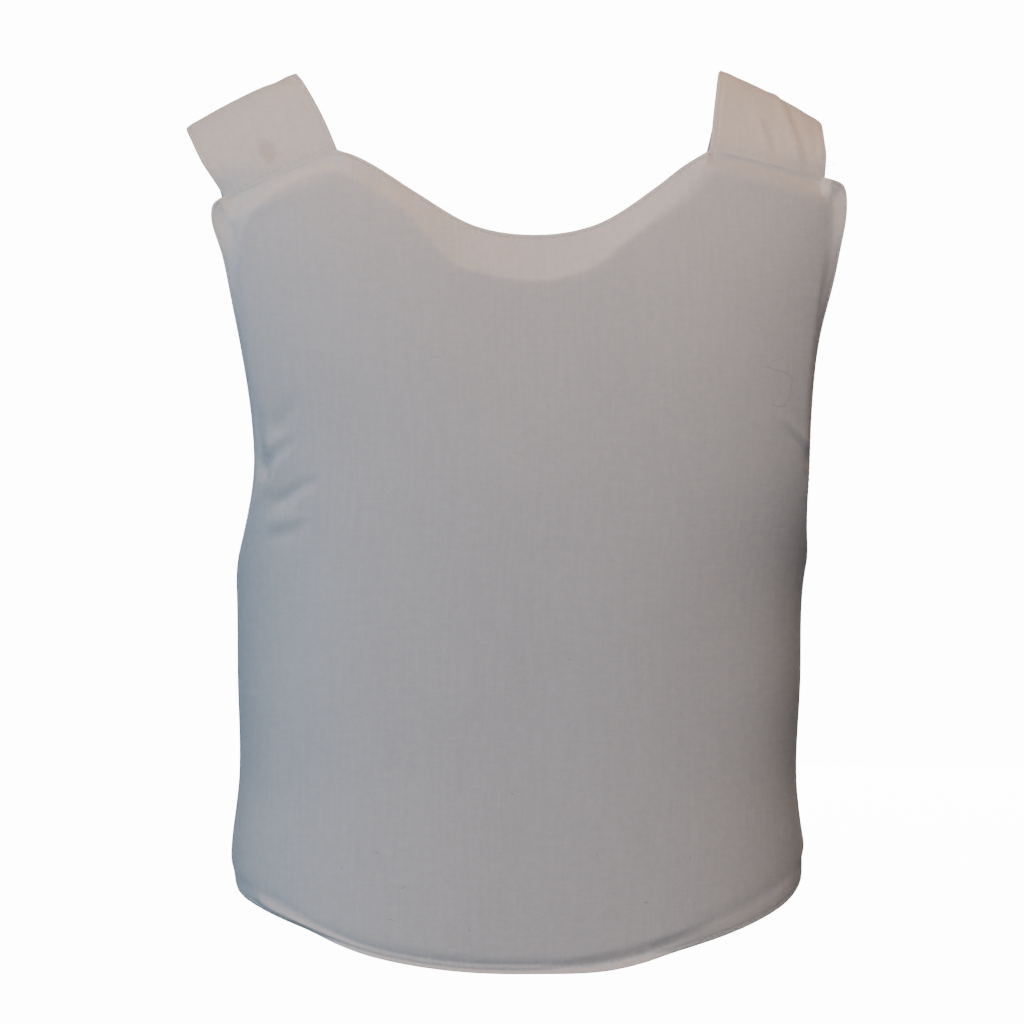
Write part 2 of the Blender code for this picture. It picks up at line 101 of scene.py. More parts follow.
# %% Finishes
class Finish:
    """A material with one shader, and the nodes that feed it."""

    def __init__(self, name, roughness, sheen=0.0):
        self.material = bpy.data.materials.new(name)
        self.material.use_nodes = True
        self.tree = self.material.node_tree
        self.shader = self.tree.nodes["Principled BSDF"]
        self.shader.inputs["Roughness"].default_value = roughness
        self.shader.inputs["Specular IOR Level"].default_value = 0.25
        self.shader.inputs["Sheen Weight"].default_value = sheen
        self.shader.inputs["Sheen Roughness"].default_value = 0.6

    def put(self, socket, value):
        """A wire is linked to the socket, and anything else is set on it."""
        if isinstance(value, Wire):
            self.tree.links.new(value.socket, socket)
        else:
            socket.default_value = value

    def node(self, kind, settings=None, values=None, output=0):
        """A new node, as the wire of one of its outputs."""
        made = self.tree.nodes.new(kind)
        for name, setting in (settings or {}).items():
            setattr(made, name, setting)
        for name, value in (values or {}).items():
            self.put(made.inputs[name], value)
        return Wire(self, made.outputs[output])

    def colours(self, share, first, second, blend="MIX"):
        """A colour between two others."""
        return self.node("ShaderNodeMix", {"data_type": "RGBA", "blend_type": blend},
                         {0: share, 6: first, 7: second}, output=2)

    def ramp(self, value, low, high):
        """A smooth rise from 0 at low to 1 at high."""
        return self.node("ShaderNodeMapRange", {"interpolation_type": "SMOOTHSTEP"},
                         {"Value": value, "From Min": low, "From Max": high})

    def noise(self, place, scale, detail=2.0):
        """Cloudy values around 0.5."""
        return self.node("ShaderNodeTexNoise", {}, {"Vector": place, "Scale": scale, "Detail": detail})

    def stretched(self, place, scale):
        """A place whose axes are scaled apart, for streaks."""
        return self.node("ShaderNodeVectorMath", {"operation": "MULTIPLY"}, {0: place, 1: scale})

    def sine(self, value):
        """The sine of a value."""
        return self.node("ShaderNodeMath", {"operation": "SINE"}, {0: value})

    def cloth_place(self):
        """The place on the cloth's own map, in metres, and its two parts: across and along."""
        place = self.node("ShaderNodeUVMap", {"uv_map": "cloth"})
        across = self.node("ShaderNodeSeparateXYZ", {}, {0: place})
        return place, across, Wire(self, across.socket.node.outputs[1])

    def done(self, colour, height, strength, distance):
        """The material, with its colour and its bump plugged in."""
        self.put(self.shader.inputs["Base Color"], colour)
        bump = self.node("ShaderNodeBump", {}, {"Strength": strength, "Distance": distance, "Height": height})
        self.put(self.shader.inputs["Normal"], bump)
        return self.material


print("finishes have", len([name for name in vars(Finish) if not name.startswith("_")]), "helpers")

# %% [markdown]
# The carrier is an off-white plain weave. Its threads are under half a millimetre apart, so
# from two metres they are only a faint grain. What the eye does find is the slubs, which are
# thicker stretches of single threads and run upright, and a slight unevenness of tone.
# Over the package the cloth is painted darker and cooler, as painted shade, so only the margins look white.
# The pattern follows each piece's own UV map, which is laid out in metres.

# %% The cloth's weave
THREAD_PITCH = 0.00046
THREAD_RELIEF = 0.00005
WARM, COOL = (1.030, 1.000, 0.975, 1.0), (0.980, 1.000, 1.030, 1.0)
STAIN_STRENGTH = 0.55


def weave(finish, u, v):
    """The height of a plain weave: each thread passes over and under its neighbours."""
    upright, level = (finish.sine(way * (np.pi / THREAD_PITCH)) for way in (u, v))
    over = finish.ramp(upright * level, -0.25, 0.25)
    return abs(upright) * over + abs(level) * (1.0 - over)


def woven(name, colour, shade, stain=None, backing=None):
    """A woven cloth finish, a little uneven, with slubs along the upright threads."""
    finish = Finish(name, 0.88, sheen=0.12)
    place, u, v = finish.cloth_place()
    slubs = finish.noise(finish.stretched(place, (430.0, 22.0, 1.0)), 1.0)
    picks = finish.noise(finish.stretched(place, (34.0, 520.0, 1.0)), 1.0)
    clouds = finish.noise(place, 9.0, detail=4.0)
    mottle = finish.noise(place, 230.0, detail=3.0)
    grain = finish.noise(place, 850.0, detail=3.0)
    tone = 0.5
    for pattern, share in ((slubs, 0.42), (picks, 0.18), (clouds, 0.35), (mottle, 0.55), (grain, 0.80)):
        tone = tone + (pattern - 0.5) * share
    tinge = finish.ramp(finish.noise(place, 190.0, detail=4.0), 0.25, 0.75)
    warm, cool = ([value * part for value, part in zip(colour, tint)] for tint in (WARM, COOL))
    base = finish.colours(finish.ramp(tone, 0.0, 1.0), shade, finish.colours(tinge, warm, cool))
    # Over the package the colour is multiplied by a darker, cooler tint with a ragged edge: painted shade.
    if backing:
        behind = finish.node("ShaderNodeAttribute", {"attribute_name": "backing"}, output=2)
        edge = finish.noise(place, 120.0) * 0.30 - 0.15
        base = finish.colours(finish.ramp(behind + edge, 0.2, 0.8), base, backing, "MULTIPLY")
    if stain:
        (stain_u, stain_v), (reach_u, reach_v), tint = stain
        across, along = (u - stain_u) * (1.0 / reach_u), (v - stain_v) * (1.0 / reach_v)
        spread = across * across + along * along + (finish.noise(place, 160.0) - 0.5) * 1.6
        base = finish.colours((1.0 - finish.ramp(spread, 0.1, 1.2)) * STAIN_STRENGTH, base, tint)
    return finish.done(base, weave(finish, u, v) + slubs * 0.5 + grain * 0.6, 0.55, THREAD_RELIEF)


# The last colour is the painted shade over the package.
carrier_cloth = woven("carrier_weave", (0.93, 0.92, 0.91, 1.0), (0.77, 0.76, 0.755, 1.0),
                      backing=(0.86, 0.885, 0.91, 1.0))
print("made", carrier_cloth.name)

# %% [markdown]
# The straps are cut from the same cloth, folded over and sewn. They are tinted warmer than the
# carrier, and the right one lighter, as painted warm light from above. The left one has a faint
# brown stain near the seam. The side straps are elastic, with fine ribs along them, and the
# sewing thread is a smoother, slightly glossier yarn.

# %% The strap, elastic and thread finishes
ELASTIC_CORD, ELASTIC_PICK = 0.0021, 0.0009

# Both strap colours are warmer than the carrier's as painted warm light from above, and the right one is
# lighter as painted light.
strap_left_cloth = woven("strap_weave_left", (0.93, 0.915, 0.895, 1.0), (0.76, 0.745, 0.725, 1.0),
                         stain=((0.037, 0.0440), (0.0055, 0.0110), (0.66, 0.58, 0.51, 1.0)))
strap_right_cloth = woven("strap_weave_right", (0.96, 0.93, 0.90, 1.0), (0.80, 0.77, 0.74, 1.0))


def elastic(name, colour, shade):
    """Knitted elastic: cords along the strap, crossed by fine picks, painted darker between them as shade."""
    finish = Finish(name, 0.75, sheen=0.15)
    place, u, v = finish.cloth_place()
    cords = abs(finish.sine(u * (np.pi / ELASTIC_CORD)))
    picks = abs(finish.sine(v * (np.pi / ELASTIC_PICK)))
    wear = finish.noise(place, 40.0, detail=3.0)
    # The colour is darker in the grooves between cords and picks, as painted shade, with random wear on top.
    share = finish.ramp(cords * 0.55 + picks * 0.2 + (wear - 0.5) * 0.5 + 0.15, 0.0, 1.0)
    return finish.done(finish.colours(share, shade, colour), cords + picks * 0.35, 0.7, 0.0003)


def twisted(name, colour, shade):
    """Sewing thread: a fine twist whose grooves are painted darker as shade, and a little random soil."""
    finish = Finish(name, 0.6, sheen=0.1)
    place = finish.node("ShaderNodeTexCoord", output=3)
    twist = finish.node("ShaderNodeTexWave", {"bands_direction": "DIAGONAL"},
                        {"Vector": place, "Scale": 900.0, "Distortion": 1.0})
    # The twist's grooves take the darker colour, as painted shade. The noise adds random soil.
    share = twist * 0.4 + finish.noise(place, 60.0) * 0.6
    return finish.done(finish.colours(share, shade, colour), twist, 0.5, 0.00004)


elastic_band = elastic("elastic_knit", (0.82, 0.80, 0.78, 1.0), (0.62, 0.60, 0.58, 1.0))
sewing_thread = twisted("sewing_thread", (0.84, 0.83, 0.82, 1.0), (0.70, 0.68, 0.66, 1.0))
# This dark colour is the lint's own, and on the seam stitches it is painted shade of their needle holes.
dark_fibre_and_hole_shade = twisted("dark_fibre_and_hole_shade", (0.34, 0.31, 0.29, 1.0), (0.22, 0.20, 0.19, 1.0))
print("made", elastic_band.name, sewing_thread.name, dark_fibre_and_hole_shade.name)

# %% [markdown]
# Every piece lies on one form, the surface of the clothed torso. Each row of the table is a
# slice through it, and between the slices a smooth curve is taken. Two more tables list its
# places by height and girth, one from the middle of the back and one from that of the front.

# %% The form
FORM = (
    # height, half breadth, depth behind, depth in front, sideways shift of the middle
    (0.020, 0.222, 0.055, 0.055, -0.0010),
    (-0.040, 0.216, 0.080, 0.077, -0.0010),
    (-0.090, 0.206, 0.097, 0.097, -0.0020),
    (-0.150, 0.191, 0.108, 0.112, -0.0035),
    (-0.220, 0.176, 0.113, 0.120, -0.0050),
    (-0.290, 0.1640, 0.113, 0.120, -0.0005),
    (-0.350, 0.1622, 0.111, 0.118, 0.0000),
    (-0.410, 0.1612, 0.109, 0.116, 0.0005),
    (-0.450, 0.1655, 0.109, 0.115, 0.0010),
    (-0.530, 0.1670, 0.112, 0.117, 0.0020),
)
BACK_ROUNDNESS = 2.50
FRONT_ROUNDNESS = 2.35
FORM_STEP, GIRTH_STEP = 0.002, 0.001
GIRTH_REACH = 0.420
FORM_TOP, FORM_BOTTOM = 0.020, -0.530
FORM_ANGLES = np.linspace(0.0, np.pi, 1441)
NORMAL_REACH = 0.003
TINY, TINY_SQUARE = 1e-9, 1e-12
MIRROR = np.array([-1.0, 1.0])


def unit(ways):
    """The same directions, one unit long."""
    return ways / np.linalg.norm(ways, axis=-1, keepdims=True)


def running_length(points):
    """Length along a line of points, up to each of them."""
    steps = np.linalg.norm(np.diff(points, axis=0), axis=1)
    return np.concatenate([[0.0], np.cumsum(steps)])


def at_runs(points, runs):
    """Points at the given lengths along a line."""
    run = running_length(points)
    return np.stack([np.interp(runs, run, column) for column in points.T], axis=-1)


def form_rows():
    """The form's measures at every height of its table, smoothed between the slices."""
    rows = np.array(FORM)[::-1]
    heights = np.arange(FORM_BOTTOM, FORM_TOP + FORM_STEP / 2.0, FORM_STEP)
    slopes = np.gradient(rows[:, 1:], rows[:, 0], axis=0)
    index = np.clip(np.searchsorted(rows[:, 0], heights, side="right") - 1, 0, len(rows) - 2)
    span = (rows[index + 1, 0] - rows[index, 0])[:, None]
    t = ((heights - rows[index, 0])[:, None]) / span
    low, high = rows[index, 1:], rows[index + 1, 1:]
    return heights, (low * (2.0 * t ** 3 - 3.0 * t ** 2 + 1.0)
                     + high * (3.0 * t ** 2 - 2.0 * t ** 3)
                     + slopes[index] * span * (t ** 3 - 2.0 * t ** 2 + t)
                     + slopes[index + 1] * span * (t ** 3 - t ** 2))


def form_table(front):
    """Places on the form for each height, and each girth from the middle of the back or front."""
    heights, measures = form_rows()
    girths = np.arange(0.0, GIRTH_REACH, GIRTH_STEP)
    table = np.zeros((len(heights), len(girths), 2))
    near = FORM_ANGLES <= np.pi / 2.0
    sine, cosine = np.abs(np.sin(FORM_ANGLES)), np.cos(FORM_ANGLES)
    near_round, far_round = (FRONT_ROUNDNESS, BACK_ROUNDNESS) if front else (BACK_ROUNDNESS, FRONT_ROUNDNESS)
    roundness = np.where(near, near_round, far_round)
    for number, (breadth, behind, ahead, _shift) in enumerate(measures):
        depth = np.where(near, ahead, behind) if front else np.where(near, behind, ahead)
        ring = np.stack([breadth * sine ** (2.0 / roundness),
                         depth * np.sign(cosine) * np.abs(cosine) ** (2.0 / roundness)], axis=-1)
        table[number] = at_runs(ring, girths)
    return table, measures[:, 3]


FORM_TABLES = {front: form_table(front) for front in (False, True)}
print("form", FORM_TABLES[False][0].shape, "places a side")

# %% [markdown]
# A place on a panel is a girth, measured round the form from the middle line, and a height.
# The form gives its point in space, and the direction straight out of the body there.

# %% Places on the form
def on_form(girth, height, front=False):
    """Places on the form. A positive girth is on the wearer's left."""
    girth, height = np.broadcast_arrays(np.asarray(girth, dtype=float), np.asarray(height, dtype=float))
    table, shifts = FORM_TABLES[front]
    row = np.clip((height - FORM_BOTTOM) / FORM_STEP, 0.0, table.shape[0] - 1.001)
    column = np.clip(np.abs(girth) / GIRTH_STEP, 0.0, table.shape[1] - 1.001)
    i, j = row.astype(int), column.astype(int)
    u, v = (row - i)[..., None], (column - j)[..., None]
    flat = ((table[i, j] * (1.0 - v) + table[i, j + 1] * v) * (1.0 - u)
            + (table[i + 1, j] * (1.0 - v) + table[i + 1, j + 1] * v) * u)
    shift = shifts[i] * (1.0 - u[..., 0]) + shifts[i + 1] * u[..., 0]
    x = flat[..., 0] * np.where(girth < 0.0, -1.0, 1.0) + shift
    y = flat[..., 1] * (-1.0 if front else 1.0)
    return np.stack([x, y, height], axis=-1)


def form_normal(girth, height, front=False):
    """Directions straight out of the form."""
    across = on_form(girth + NORMAL_REACH, height, front) - on_form(girth - NORMAL_REACH, height, front)
    upward = on_form(girth, height + NORMAL_REACH, front) - on_form(girth, height - NORMAL_REACH, front)
    return unit(np.cross(upward, across) * (-1.0 if front else 1.0))


print("middle of the back at the waist", on_form(0.0, -0.35).round(3).tolist())

# %% [markdown]
# A panel's outline is three lines a side: the hem, the armhole and the neckline. The armour
# package inside stops short of the sewn edge all round, which leaves the thin margin that
# shows as a lighter band along the neck. The back's two sides differ a little, as worn.

# %% The back panel's outline
BACK_HEM = (
    # left girth, left height, right girth, right height
    (0.000, -0.5125, 0.000, -0.5125),
    (0.045, -0.5105, 0.045, -0.5112),
    (0.090, -0.5030, 0.090, -0.5004),
    (0.130, -0.4897, 0.130, -0.4898),
    (0.165, -0.4805, 0.163, -0.4795),
    (0.200, -0.4735, 0.195, -0.4685),
    (0.232, -0.4650, 0.229, -0.4590),
    (0.255, -0.4480, 0.254, -0.4390),
    (0.263, -0.4200, 0.263, -0.4130),
)
BACK_ARMHOLE = (
    # left girth, left height, right girth, right height, from the side edge up to the strap
    (0.263, -0.3450, 0.263, -0.3420),
    (0.254, -0.3130, 0.253, -0.3120),
    (0.235, -0.2860, 0.230, -0.2860),
    (0.2136, -0.2660, 0.206, -0.2670),
    (0.194, -0.2490, 0.187, -0.2460),
    (0.1825, -0.2260, 0.179, -0.2230),
    (0.179, -0.1940, 0.175, -0.1930),
    (0.181, -0.1470, 0.178, -0.1460),
    (0.186, -0.1005, 0.1885, -0.0980),
    (0.192, -0.0770, 0.194, -0.0690),
    (0.190, -0.0680, 0.192, -0.0545),
    (0.1836, -0.0637, 0.180, -0.0500),
)
BACK_NECK = (
    # left girth, left height, right girth, right height, from the strap to the middle
    (0.1124, -0.0372, 0.1062, -0.0355),
    (0.100, -0.0418, 0.0907, -0.0450),
    (0.068, -0.0616, 0.072, -0.0587),
    (0.034, -0.0818, 0.036, -0.0807),
    (0.000, -0.0870, 0.000, -0.0870),
)
BACK_PACKAGE = (
    # left girth, left height, right girth, right height, from the neck round to the hem
    (0.000, -0.1165, 0.000, -0.1165),
    (0.030, -0.1127, 0.031, -0.1095),
    (0.048, -0.1065, 0.052, -0.0942),
    (0.060, -0.0936, 0.072, -0.0795),
    (0.075, -0.0760, 0.091, -0.0665),
    (0.093, -0.0640, 0.108, -0.0500),
    (0.112, -0.0530, 0.123, -0.0445),
    (0.130, -0.0550, 0.141, -0.0489),
    (0.150, -0.0650, 0.163, -0.0565),
    (0.165, -0.0790, 0.1765, -0.0680),
    (0.171, -0.0972, 0.175, -0.0894),
    (0.170, -0.1400, 0.167, -0.1400),
    (0.167, -0.1950, 0.163, -0.1950),
    (0.170, -0.2300, 0.167, -0.2300),
    (0.184, -0.2580, 0.178, -0.2580),
    (0.206, -0.2800, 0.203, -0.2800),
    (0.232, -0.3030, 0.232, -0.3030),
    (0.247, -0.3300, 0.247, -0.3300),
    (0.252, -0.3800, 0.252, -0.3800),
    (0.249, -0.4230, 0.246, -0.4120),
    (0.232, -0.4480, 0.228, -0.4340),
    (0.205, -0.4600, 0.195, -0.4520),
    (0.176, -0.4670, 0.163, -0.4675),
    (0.159, -0.4765, 0.128, -0.4790),
    (0.135, -0.4845, 0.090, -0.4900),
    (0.090, -0.4985, 0.045, -0.5005),
    (0.045, -0.5060, 0.020, -0.5060),
    (0.000, -0.5080, 0.000, -0.5080),
)
print("back outline rows", len(BACK_HEM + BACK_ARMHOLE + BACK_NECK), "package rows", len(BACK_PACKAGE))

# %% [markdown]
# The front panel is out of sight in the photo, so its outline is a plain one, the same on both
# sides. It is narrower than the back, and cut lower at the neck.

# %% The front panel's outline
FRONT_HEM = (
    # girth, height, the same on both sides
    (0.000, -0.5030),
    (0.045, -0.5015),
    (0.085, -0.4950),
    (0.118, -0.4840),
    (0.144, -0.4690),
    (0.159, -0.4470),
    (0.164, -0.4200),
)
FRONT_ARMHOLE = (
    # girth, height, from the side edge up to the strap
    (0.164, -0.3480),
    (0.162, -0.3180),
    (0.158, -0.2850),
    (0.155, -0.2450),
    (0.156, -0.2050),
    (0.162, -0.1600),
    (0.174, -0.1200),
    (0.181, -0.1040),
    (0.1765, -0.0950),
)
FRONT_NECK = (
    # girth, height, from the strap to the middle
    (0.1015, -0.0720),
    (0.090, -0.0800),
    (0.067, -0.1020),
    (0.036, -0.1240),
    (0.000, -0.1310),
)
FRONT_PACKAGE = (
    # girth, height, from the middle of the neck round to the hem
    (0.000, -0.1560),
    (0.042, -0.1460),
    (0.074, -0.1200),
    (0.102, -0.0920),
    (0.130, -0.0930),
    (0.160, -0.1040),
    (0.165, -0.1240),
    (0.150, -0.1640),
    (0.144, -0.2050),
    (0.143, -0.2450),
    (0.148, -0.3000),
    (0.152, -0.3500),
    (0.152, -0.4200),
    (0.146, -0.4450),
    (0.132, -0.4620),
    (0.085, -0.4840),
    (0.000, -0.4930),
)
print("front outline rows", len(FRONT_HEM + FRONT_ARMHOLE + FRONT_NECK), "package rows", len(FRONT_PACKAGE))

# %% [markdown]
# A smooth curve runs through the rows of each table. Its points bunch up where the curve was
# given more rows, so the finished edge is spaced again in even steps of about a millimetre.

# %% Smooth edges
CURVE_STEPS = 12
BORDER_STEP = 0.0009


def curve_through(points, steps=CURVE_STEPS):
    """Points along a smooth curve that passes through the given ones, evenly paced by chord."""
    points = np.asarray(points, dtype=float)
    before = 2.0 * points[0] - points[1]
    after = 2.0 * points[-1] - points[-2]
    ends = np.vstack([before, points, after])
    places = []
    for p0, p1, p2, p3 in zip(ends, ends[1:], ends[2:], ends[3:]):
        d0, d1, d2 = (np.linalg.norm(b - a) ** 0.5 for a, b in ((p0, p1), (p1, p2), (p2, p3)))
        start = (p2 - p1) + d1 * ((p1 - p0) / d0 - (p2 - p0) / (d0 + d1))
        end = (p2 - p1) + d1 * ((p3 - p2) / d2 - (p3 - p1) / (d1 + d2))
        for t in np.arange(steps) / steps:
            places.append(p1 + start * t + (3.0 * (p2 - p1) - 2.0 * start - end) * t ** 2
                          + (2.0 * (p1 - p2) + start + end) * t ** 3)
    places.append(points[-1])
    return np.array(places)


def along(points, shares):
    """Points at the given shares of a line's length."""
    return at_runs(points, shares * running_length(points)[-1])


def half_line(rows, sign):
    """One side's girths and heights of a table that has two columns, or four for two unlike sides."""
    table = np.array(rows)
    first = 2 if sign < 0.0 and table.shape[1] == 4 else 0
    return table[:, first:first + 2]


def from_middle(rows):
    """A smooth line that leaves the panel's middle level, on one side."""
    return curve_through(np.vstack([rows[1] * MIRROR, rows]))[CURVE_STEPS:]


def panel_outline(hem, armhole, neck):
    """A panel's hem, neckline and armhole for each side, from the middle outwards."""
    return {sign: (from_middle(half_line(hem, sign)),
                   from_middle(half_line(neck, sign)[::-1]),
                   curve_through(half_line(armhole, sign))[::-1]) for sign in (1.0, -1.0)}


def closed_loop(left, right):
    """A whole closed line from its two sides, which both start and end at the middle."""
    return np.vstack([left, right[::-1] * MIRROR])


def package_loop(rows):
    """The armour package's edge as one closed line."""
    halves = []
    for sign in (1.0, -1.0):
        half = half_line(rows, sign)
        whole = curve_through(np.vstack([half[1] * MIRROR, half, half[-2] * MIRROR]))
        halves.append(whole[CURVE_STEPS:-CURVE_STEPS])
    return closed_loop(*halves)


def evenly(line):
    """The same line with evenly spaced points."""
    count = max(2, int(round(running_length(line)[-1] / BORDER_STEP)))
    return along(line, np.linspace(0.0, 1.0, count + 1))


def border_loop(sides):
    """A panel's edge in even steps, which keeps the corners at the straps. The last point isn't repeated."""
    halves = []
    for lower, scoop, arm in (sides[1.0], sides[-1.0]):
        side = np.vstack([lower, arm[-1:]])
        seam = np.vstack([arm[:1], scoop[-1:]])
        lines = [evenly(line) for line in (side, arm[::-1], seam, scoop[::-1])]
        halves.append(np.vstack([lines[0]] + [line[1:] for line in lines[1:]]))
    left, right = halves
    return np.vstack([left, right[-2:0:-1] * MIRROR])


back_sides = panel_outline(BACK_HEM, BACK_ARMHOLE, BACK_NECK)
front_sides = panel_outline(FRONT_HEM, FRONT_ARMHOLE, FRONT_NECK)
back_border, front_border = border_loop(back_sides), border_loop(front_sides)
back_package, front_package = package_loop(BACK_PACKAGE), package_loop(FRONT_PACKAGE)
print("border points", len(back_border), len(front_border))

# %% [markdown]
# How thick the cover is at a place depends on how far it lies from the sewn edge and from
# the package. So the first tool is a distance to a line, which also tells where along the
# line the nearest point is. That place sets the stitches' rhythm along the edge.

# %% Distances on a panel
FEW_POINTS = 12


def nearest_on(line, places):
    """Distance from each place to a line of points, and how far along the line the nearest point is."""
    flat = places.reshape(-1, 2)
    starts, ways = line[:-1], np.diff(line, axis=0)
    squares = np.maximum((ways ** 2).sum(axis=1), TINY_SQUARE)
    run = running_length(line)
    if len(line) <= FEW_POINTS:
        near = np.tile(np.arange(len(starts)), (len(flat), 1))
    else:
        tree = KDTree(len(line))
        for number, (girth, height) in enumerate(line.tolist()):
            tree.insert((girth, height, 0.0), number)
        tree.balance()
        found = np.array([tree.find((girth, height, 0.0))[1] for girth, height in flat.tolist()])
        near = np.clip(found[:, None] + np.array([-1, 0]), 0, len(starts) - 1)
    offset = flat[:, None] - starts[near]
    share = np.clip((offset * ways[near]).sum(axis=2) / squares[near], 0.0, 1.0)
    square = ((offset - share[..., None] * ways[near]) ** 2).sum(axis=2)
    best = square.argmin(axis=1)
    rows = np.arange(len(best))
    segment = near[rows, best]
    runs = run[segment] + share[rows, best] * (run[segment + 1] - run[segment])
    return np.sqrt(square[rows, best]).reshape(places.shape[:-1]), runs.reshape(places.shape[:-1])


def inside(loop, places):
    """Which places lie inside a closed line."""
    girth, height = places[..., 0], places[..., 1]
    crossings = np.zeros(girth.shape, dtype=int)
    for (g0, h0), (g1, h1) in zip(loop[:-1], loop[1:]):
        if h0 != h1:
            spans = (h0 <= height) != (h1 <= height)
            crossings += spans & (girth < g0 + (height - h0) * (g1 - g0) / (h1 - h0))
    return crossings % 2 == 1


def closed(loop):
    """The loop with its first point again at the end."""
    return np.vstack([loop, loop[:1]])


print("border length", round(running_length(closed(back_border))[-1], 3))

# %% [markdown]
# A few small curves make every hump, groove and rolled edge: a smooth rise, a bell, a straight
# fall and a quarter circle. A wave sets the rhythm of the needle holes.

# %% Small curves
def smooth_step(share):
    """Rise from 0 to 1 with level ends."""
    share = np.clip(share, 0.0, 1.0)
    return share * share * (3.0 - 2.0 * share)


def bell(share):
    """A smooth hump, 1 in its middle."""
    return np.exp(-share ** 2)


def falloff(gap, width):
    """A straight fall from 1 at a line to 0 at the width from it."""
    return np.clip(1.0 - gap / width, 0.0, 1.0)


def rolled(gap, radius):
    """A quarter circle, which rises from 0 at an edge to 1 at the radius from it."""
    return np.sqrt(1.0 - falloff(gap, radius) ** 2)


def rhythm(run, pitch, swing):
    """A wave along a seam, 1 at the needle holes and lower by twice the swing between them."""
    return 1.0 - swing + swing * np.cos(2.0 * np.pi * run / pitch)


def closeness(places, girth, height, reach):
    """How close each place lies to a spot, 1 at the spot and less within a few reaches of it."""
    return np.exp(-((places[..., 0] - girth) ** 2 + (places[..., 1] - height) ** 2) / reach ** 2)


print("halfway up each curve", smooth_step(0.5), falloff(0.5, 1.0), rolled(0.5, 1.0).round(3))

# %% [markdown]
# The cover's relief is a sum of simple parts. Padding rises evenly from the thin edge to the
# package. The edge itself is rolled, because the cover was sewn inside out and turned. The
# row of stitches draws it in, more at each needle hole. The hem flares out below the package,
# narrow at the middle and wide on the wearer's right. Folds pull in from the armholes.

# %% The relief's measures
SEAM_THICKNESS = 0.0022
PACKAGE_THICKNESS = 0.0078
EDGE_ROLL = 0.0011
STITCH_INSET = 0.0027
STITCH_PITCH = 0.0037
STITCH_DRAW = 0.00045
STITCH_REACH = 0.0007
STITCH_SWING = 0.35
HEM_FLARE = (
    # girth, width of the lip, how far it stands out, depth of the valley above it,
    # share of the thin edge's missing padding that the lip makes up for
    (-0.262, 0.0110, 0.0022, 0.0000, 0.0),
    (-0.215, 0.0125, 0.0036, 0.0000, 0.0),
    (-0.160, 0.0135, 0.0044, 0.0004, 0.0),
    (-0.110, 0.0110, 0.0040, 0.0006, 0.1),
    (-0.085, 0.0074, 0.0030, 0.0008, 0.4),
    (-0.065, 0.0054, 0.0034, 0.0011, 1.0),
    (0.050, 0.0052, 0.0036, 0.0012, 1.0),
    (0.110, 0.0052, 0.0034, 0.0011, 1.0),
    (0.128, 0.0056, 0.0022, 0.0008, 0.6),
    (0.150, 0.0090, 0.0024, 0.0008, 0.1),
    (0.200, 0.0110, 0.0020, 0.0003, 0.0),
    (0.262, 0.0080, 0.0008, 0.0000, 0.0),
)
LIP_FILL = 0.0052
LIP_LUMP, LUMP_REACH = 0.0004, 0.0009
HORNS = (
    # girth, height, reach, width of the rim, how far it stands out, depth of the valley beside it
    (-0.1960, -0.0720, 0.0300, 0.0160, 0.0010, 0.0006),
    (-0.1860, -0.1150, 0.0260, 0.0110, 0.0024, 0.0003),
    (0.1940, -0.0800, 0.0250, 0.0130, 0.0014, 0.0006),
    (0.1840, -0.1200, 0.0280, 0.0100, 0.0016, 0.0003),
)
HORN_TURNS = (
    # girth, height, reach, width of the rim, how far back its edge stands
    (-0.1960, -0.0740, 0.0330, 0.0150, 0.0105),
    (0.1940, -0.0800, 0.0270, 0.0130, 0.0060),
)
NECK_SINK = 0.0030
NECK_PLACE, NECK_REACH = (0.0, -0.0900), (0.1000, 0.0450)
CREASES = (
    # half width, depth or a negative rise, and the line's girths and heights from its strong end
    (0.0040, 0.0024, ((0.1670, -0.2285), (0.1670, -0.2130), (0.1655, -0.1975), (0.1670, -0.1715))),
    (0.0046, 0.0021, ((0.1565, -0.2015), (0.1500, -0.1945), (0.1430, -0.1860), (0.1355, -0.1795))),
    (0.0032, 0.0031, ((0.1645, -0.2300), (0.1630, -0.2220), (0.1580, -0.2155), (0.1420, -0.2060))),
    (0.0034, 0.0030, ((0.1570, -0.2440), (0.1475, -0.2390), (0.1375, -0.2330), (0.1250, -0.2290))),
    (0.0046, 0.0019, ((0.1605, -0.2610), (0.1425, -0.2590), (0.1290, -0.2540))),
    (0.0034, -0.0010, ((0.1645, -0.1910), (0.1615, -0.1785), (0.1595, -0.1650))),
    (0.0034, -0.0013, ((0.1615, -0.2115), (0.1605, -0.1995), (0.1560, -0.1870))),
    (0.0028, -0.0010, ((0.1620, -0.2150), (0.1570, -0.2085), (0.1460, -0.2000))),
    (0.0050, -0.0019, ((0.1670, -0.2365), (0.1575, -0.2270), (0.1525, -0.2195), (0.1420, -0.2110))),
    (0.0060, -0.0016, ((0.1620, -0.2580), (0.1455, -0.2525), (0.1330, -0.2470))),
    (0.0060, -0.0005, ((0.1460, -0.4340), (0.1290, -0.4370))),
    (0.0030, 0.0012, ((0.1130, -0.0460), (0.1040, -0.0660))),
    (0.0035, -0.0006, ((0.1190, -0.0480), (0.1120, -0.0620))),
    (0.0028, -0.0015, ((-0.1670, -0.2100), (-0.1380, -0.1890))),
    (0.0028, 0.0019, ((-0.1700, -0.2170), (-0.1420, -0.1950))),
    (0.0024, 0.0016, ((-0.1700, -0.2190), (-0.1580, -0.2160))),
    (0.0024, 0.0016, ((-0.1700, -0.2245), (-0.1610, -0.2235))),
    (0.0100, -0.0012, ((-0.2080, -0.4500), (-0.1780, -0.4580))),
)
CREASE_FADE, CREASE_MARGIN = 0.8, 0.0060
WAVE_MARGIN = 0.0120
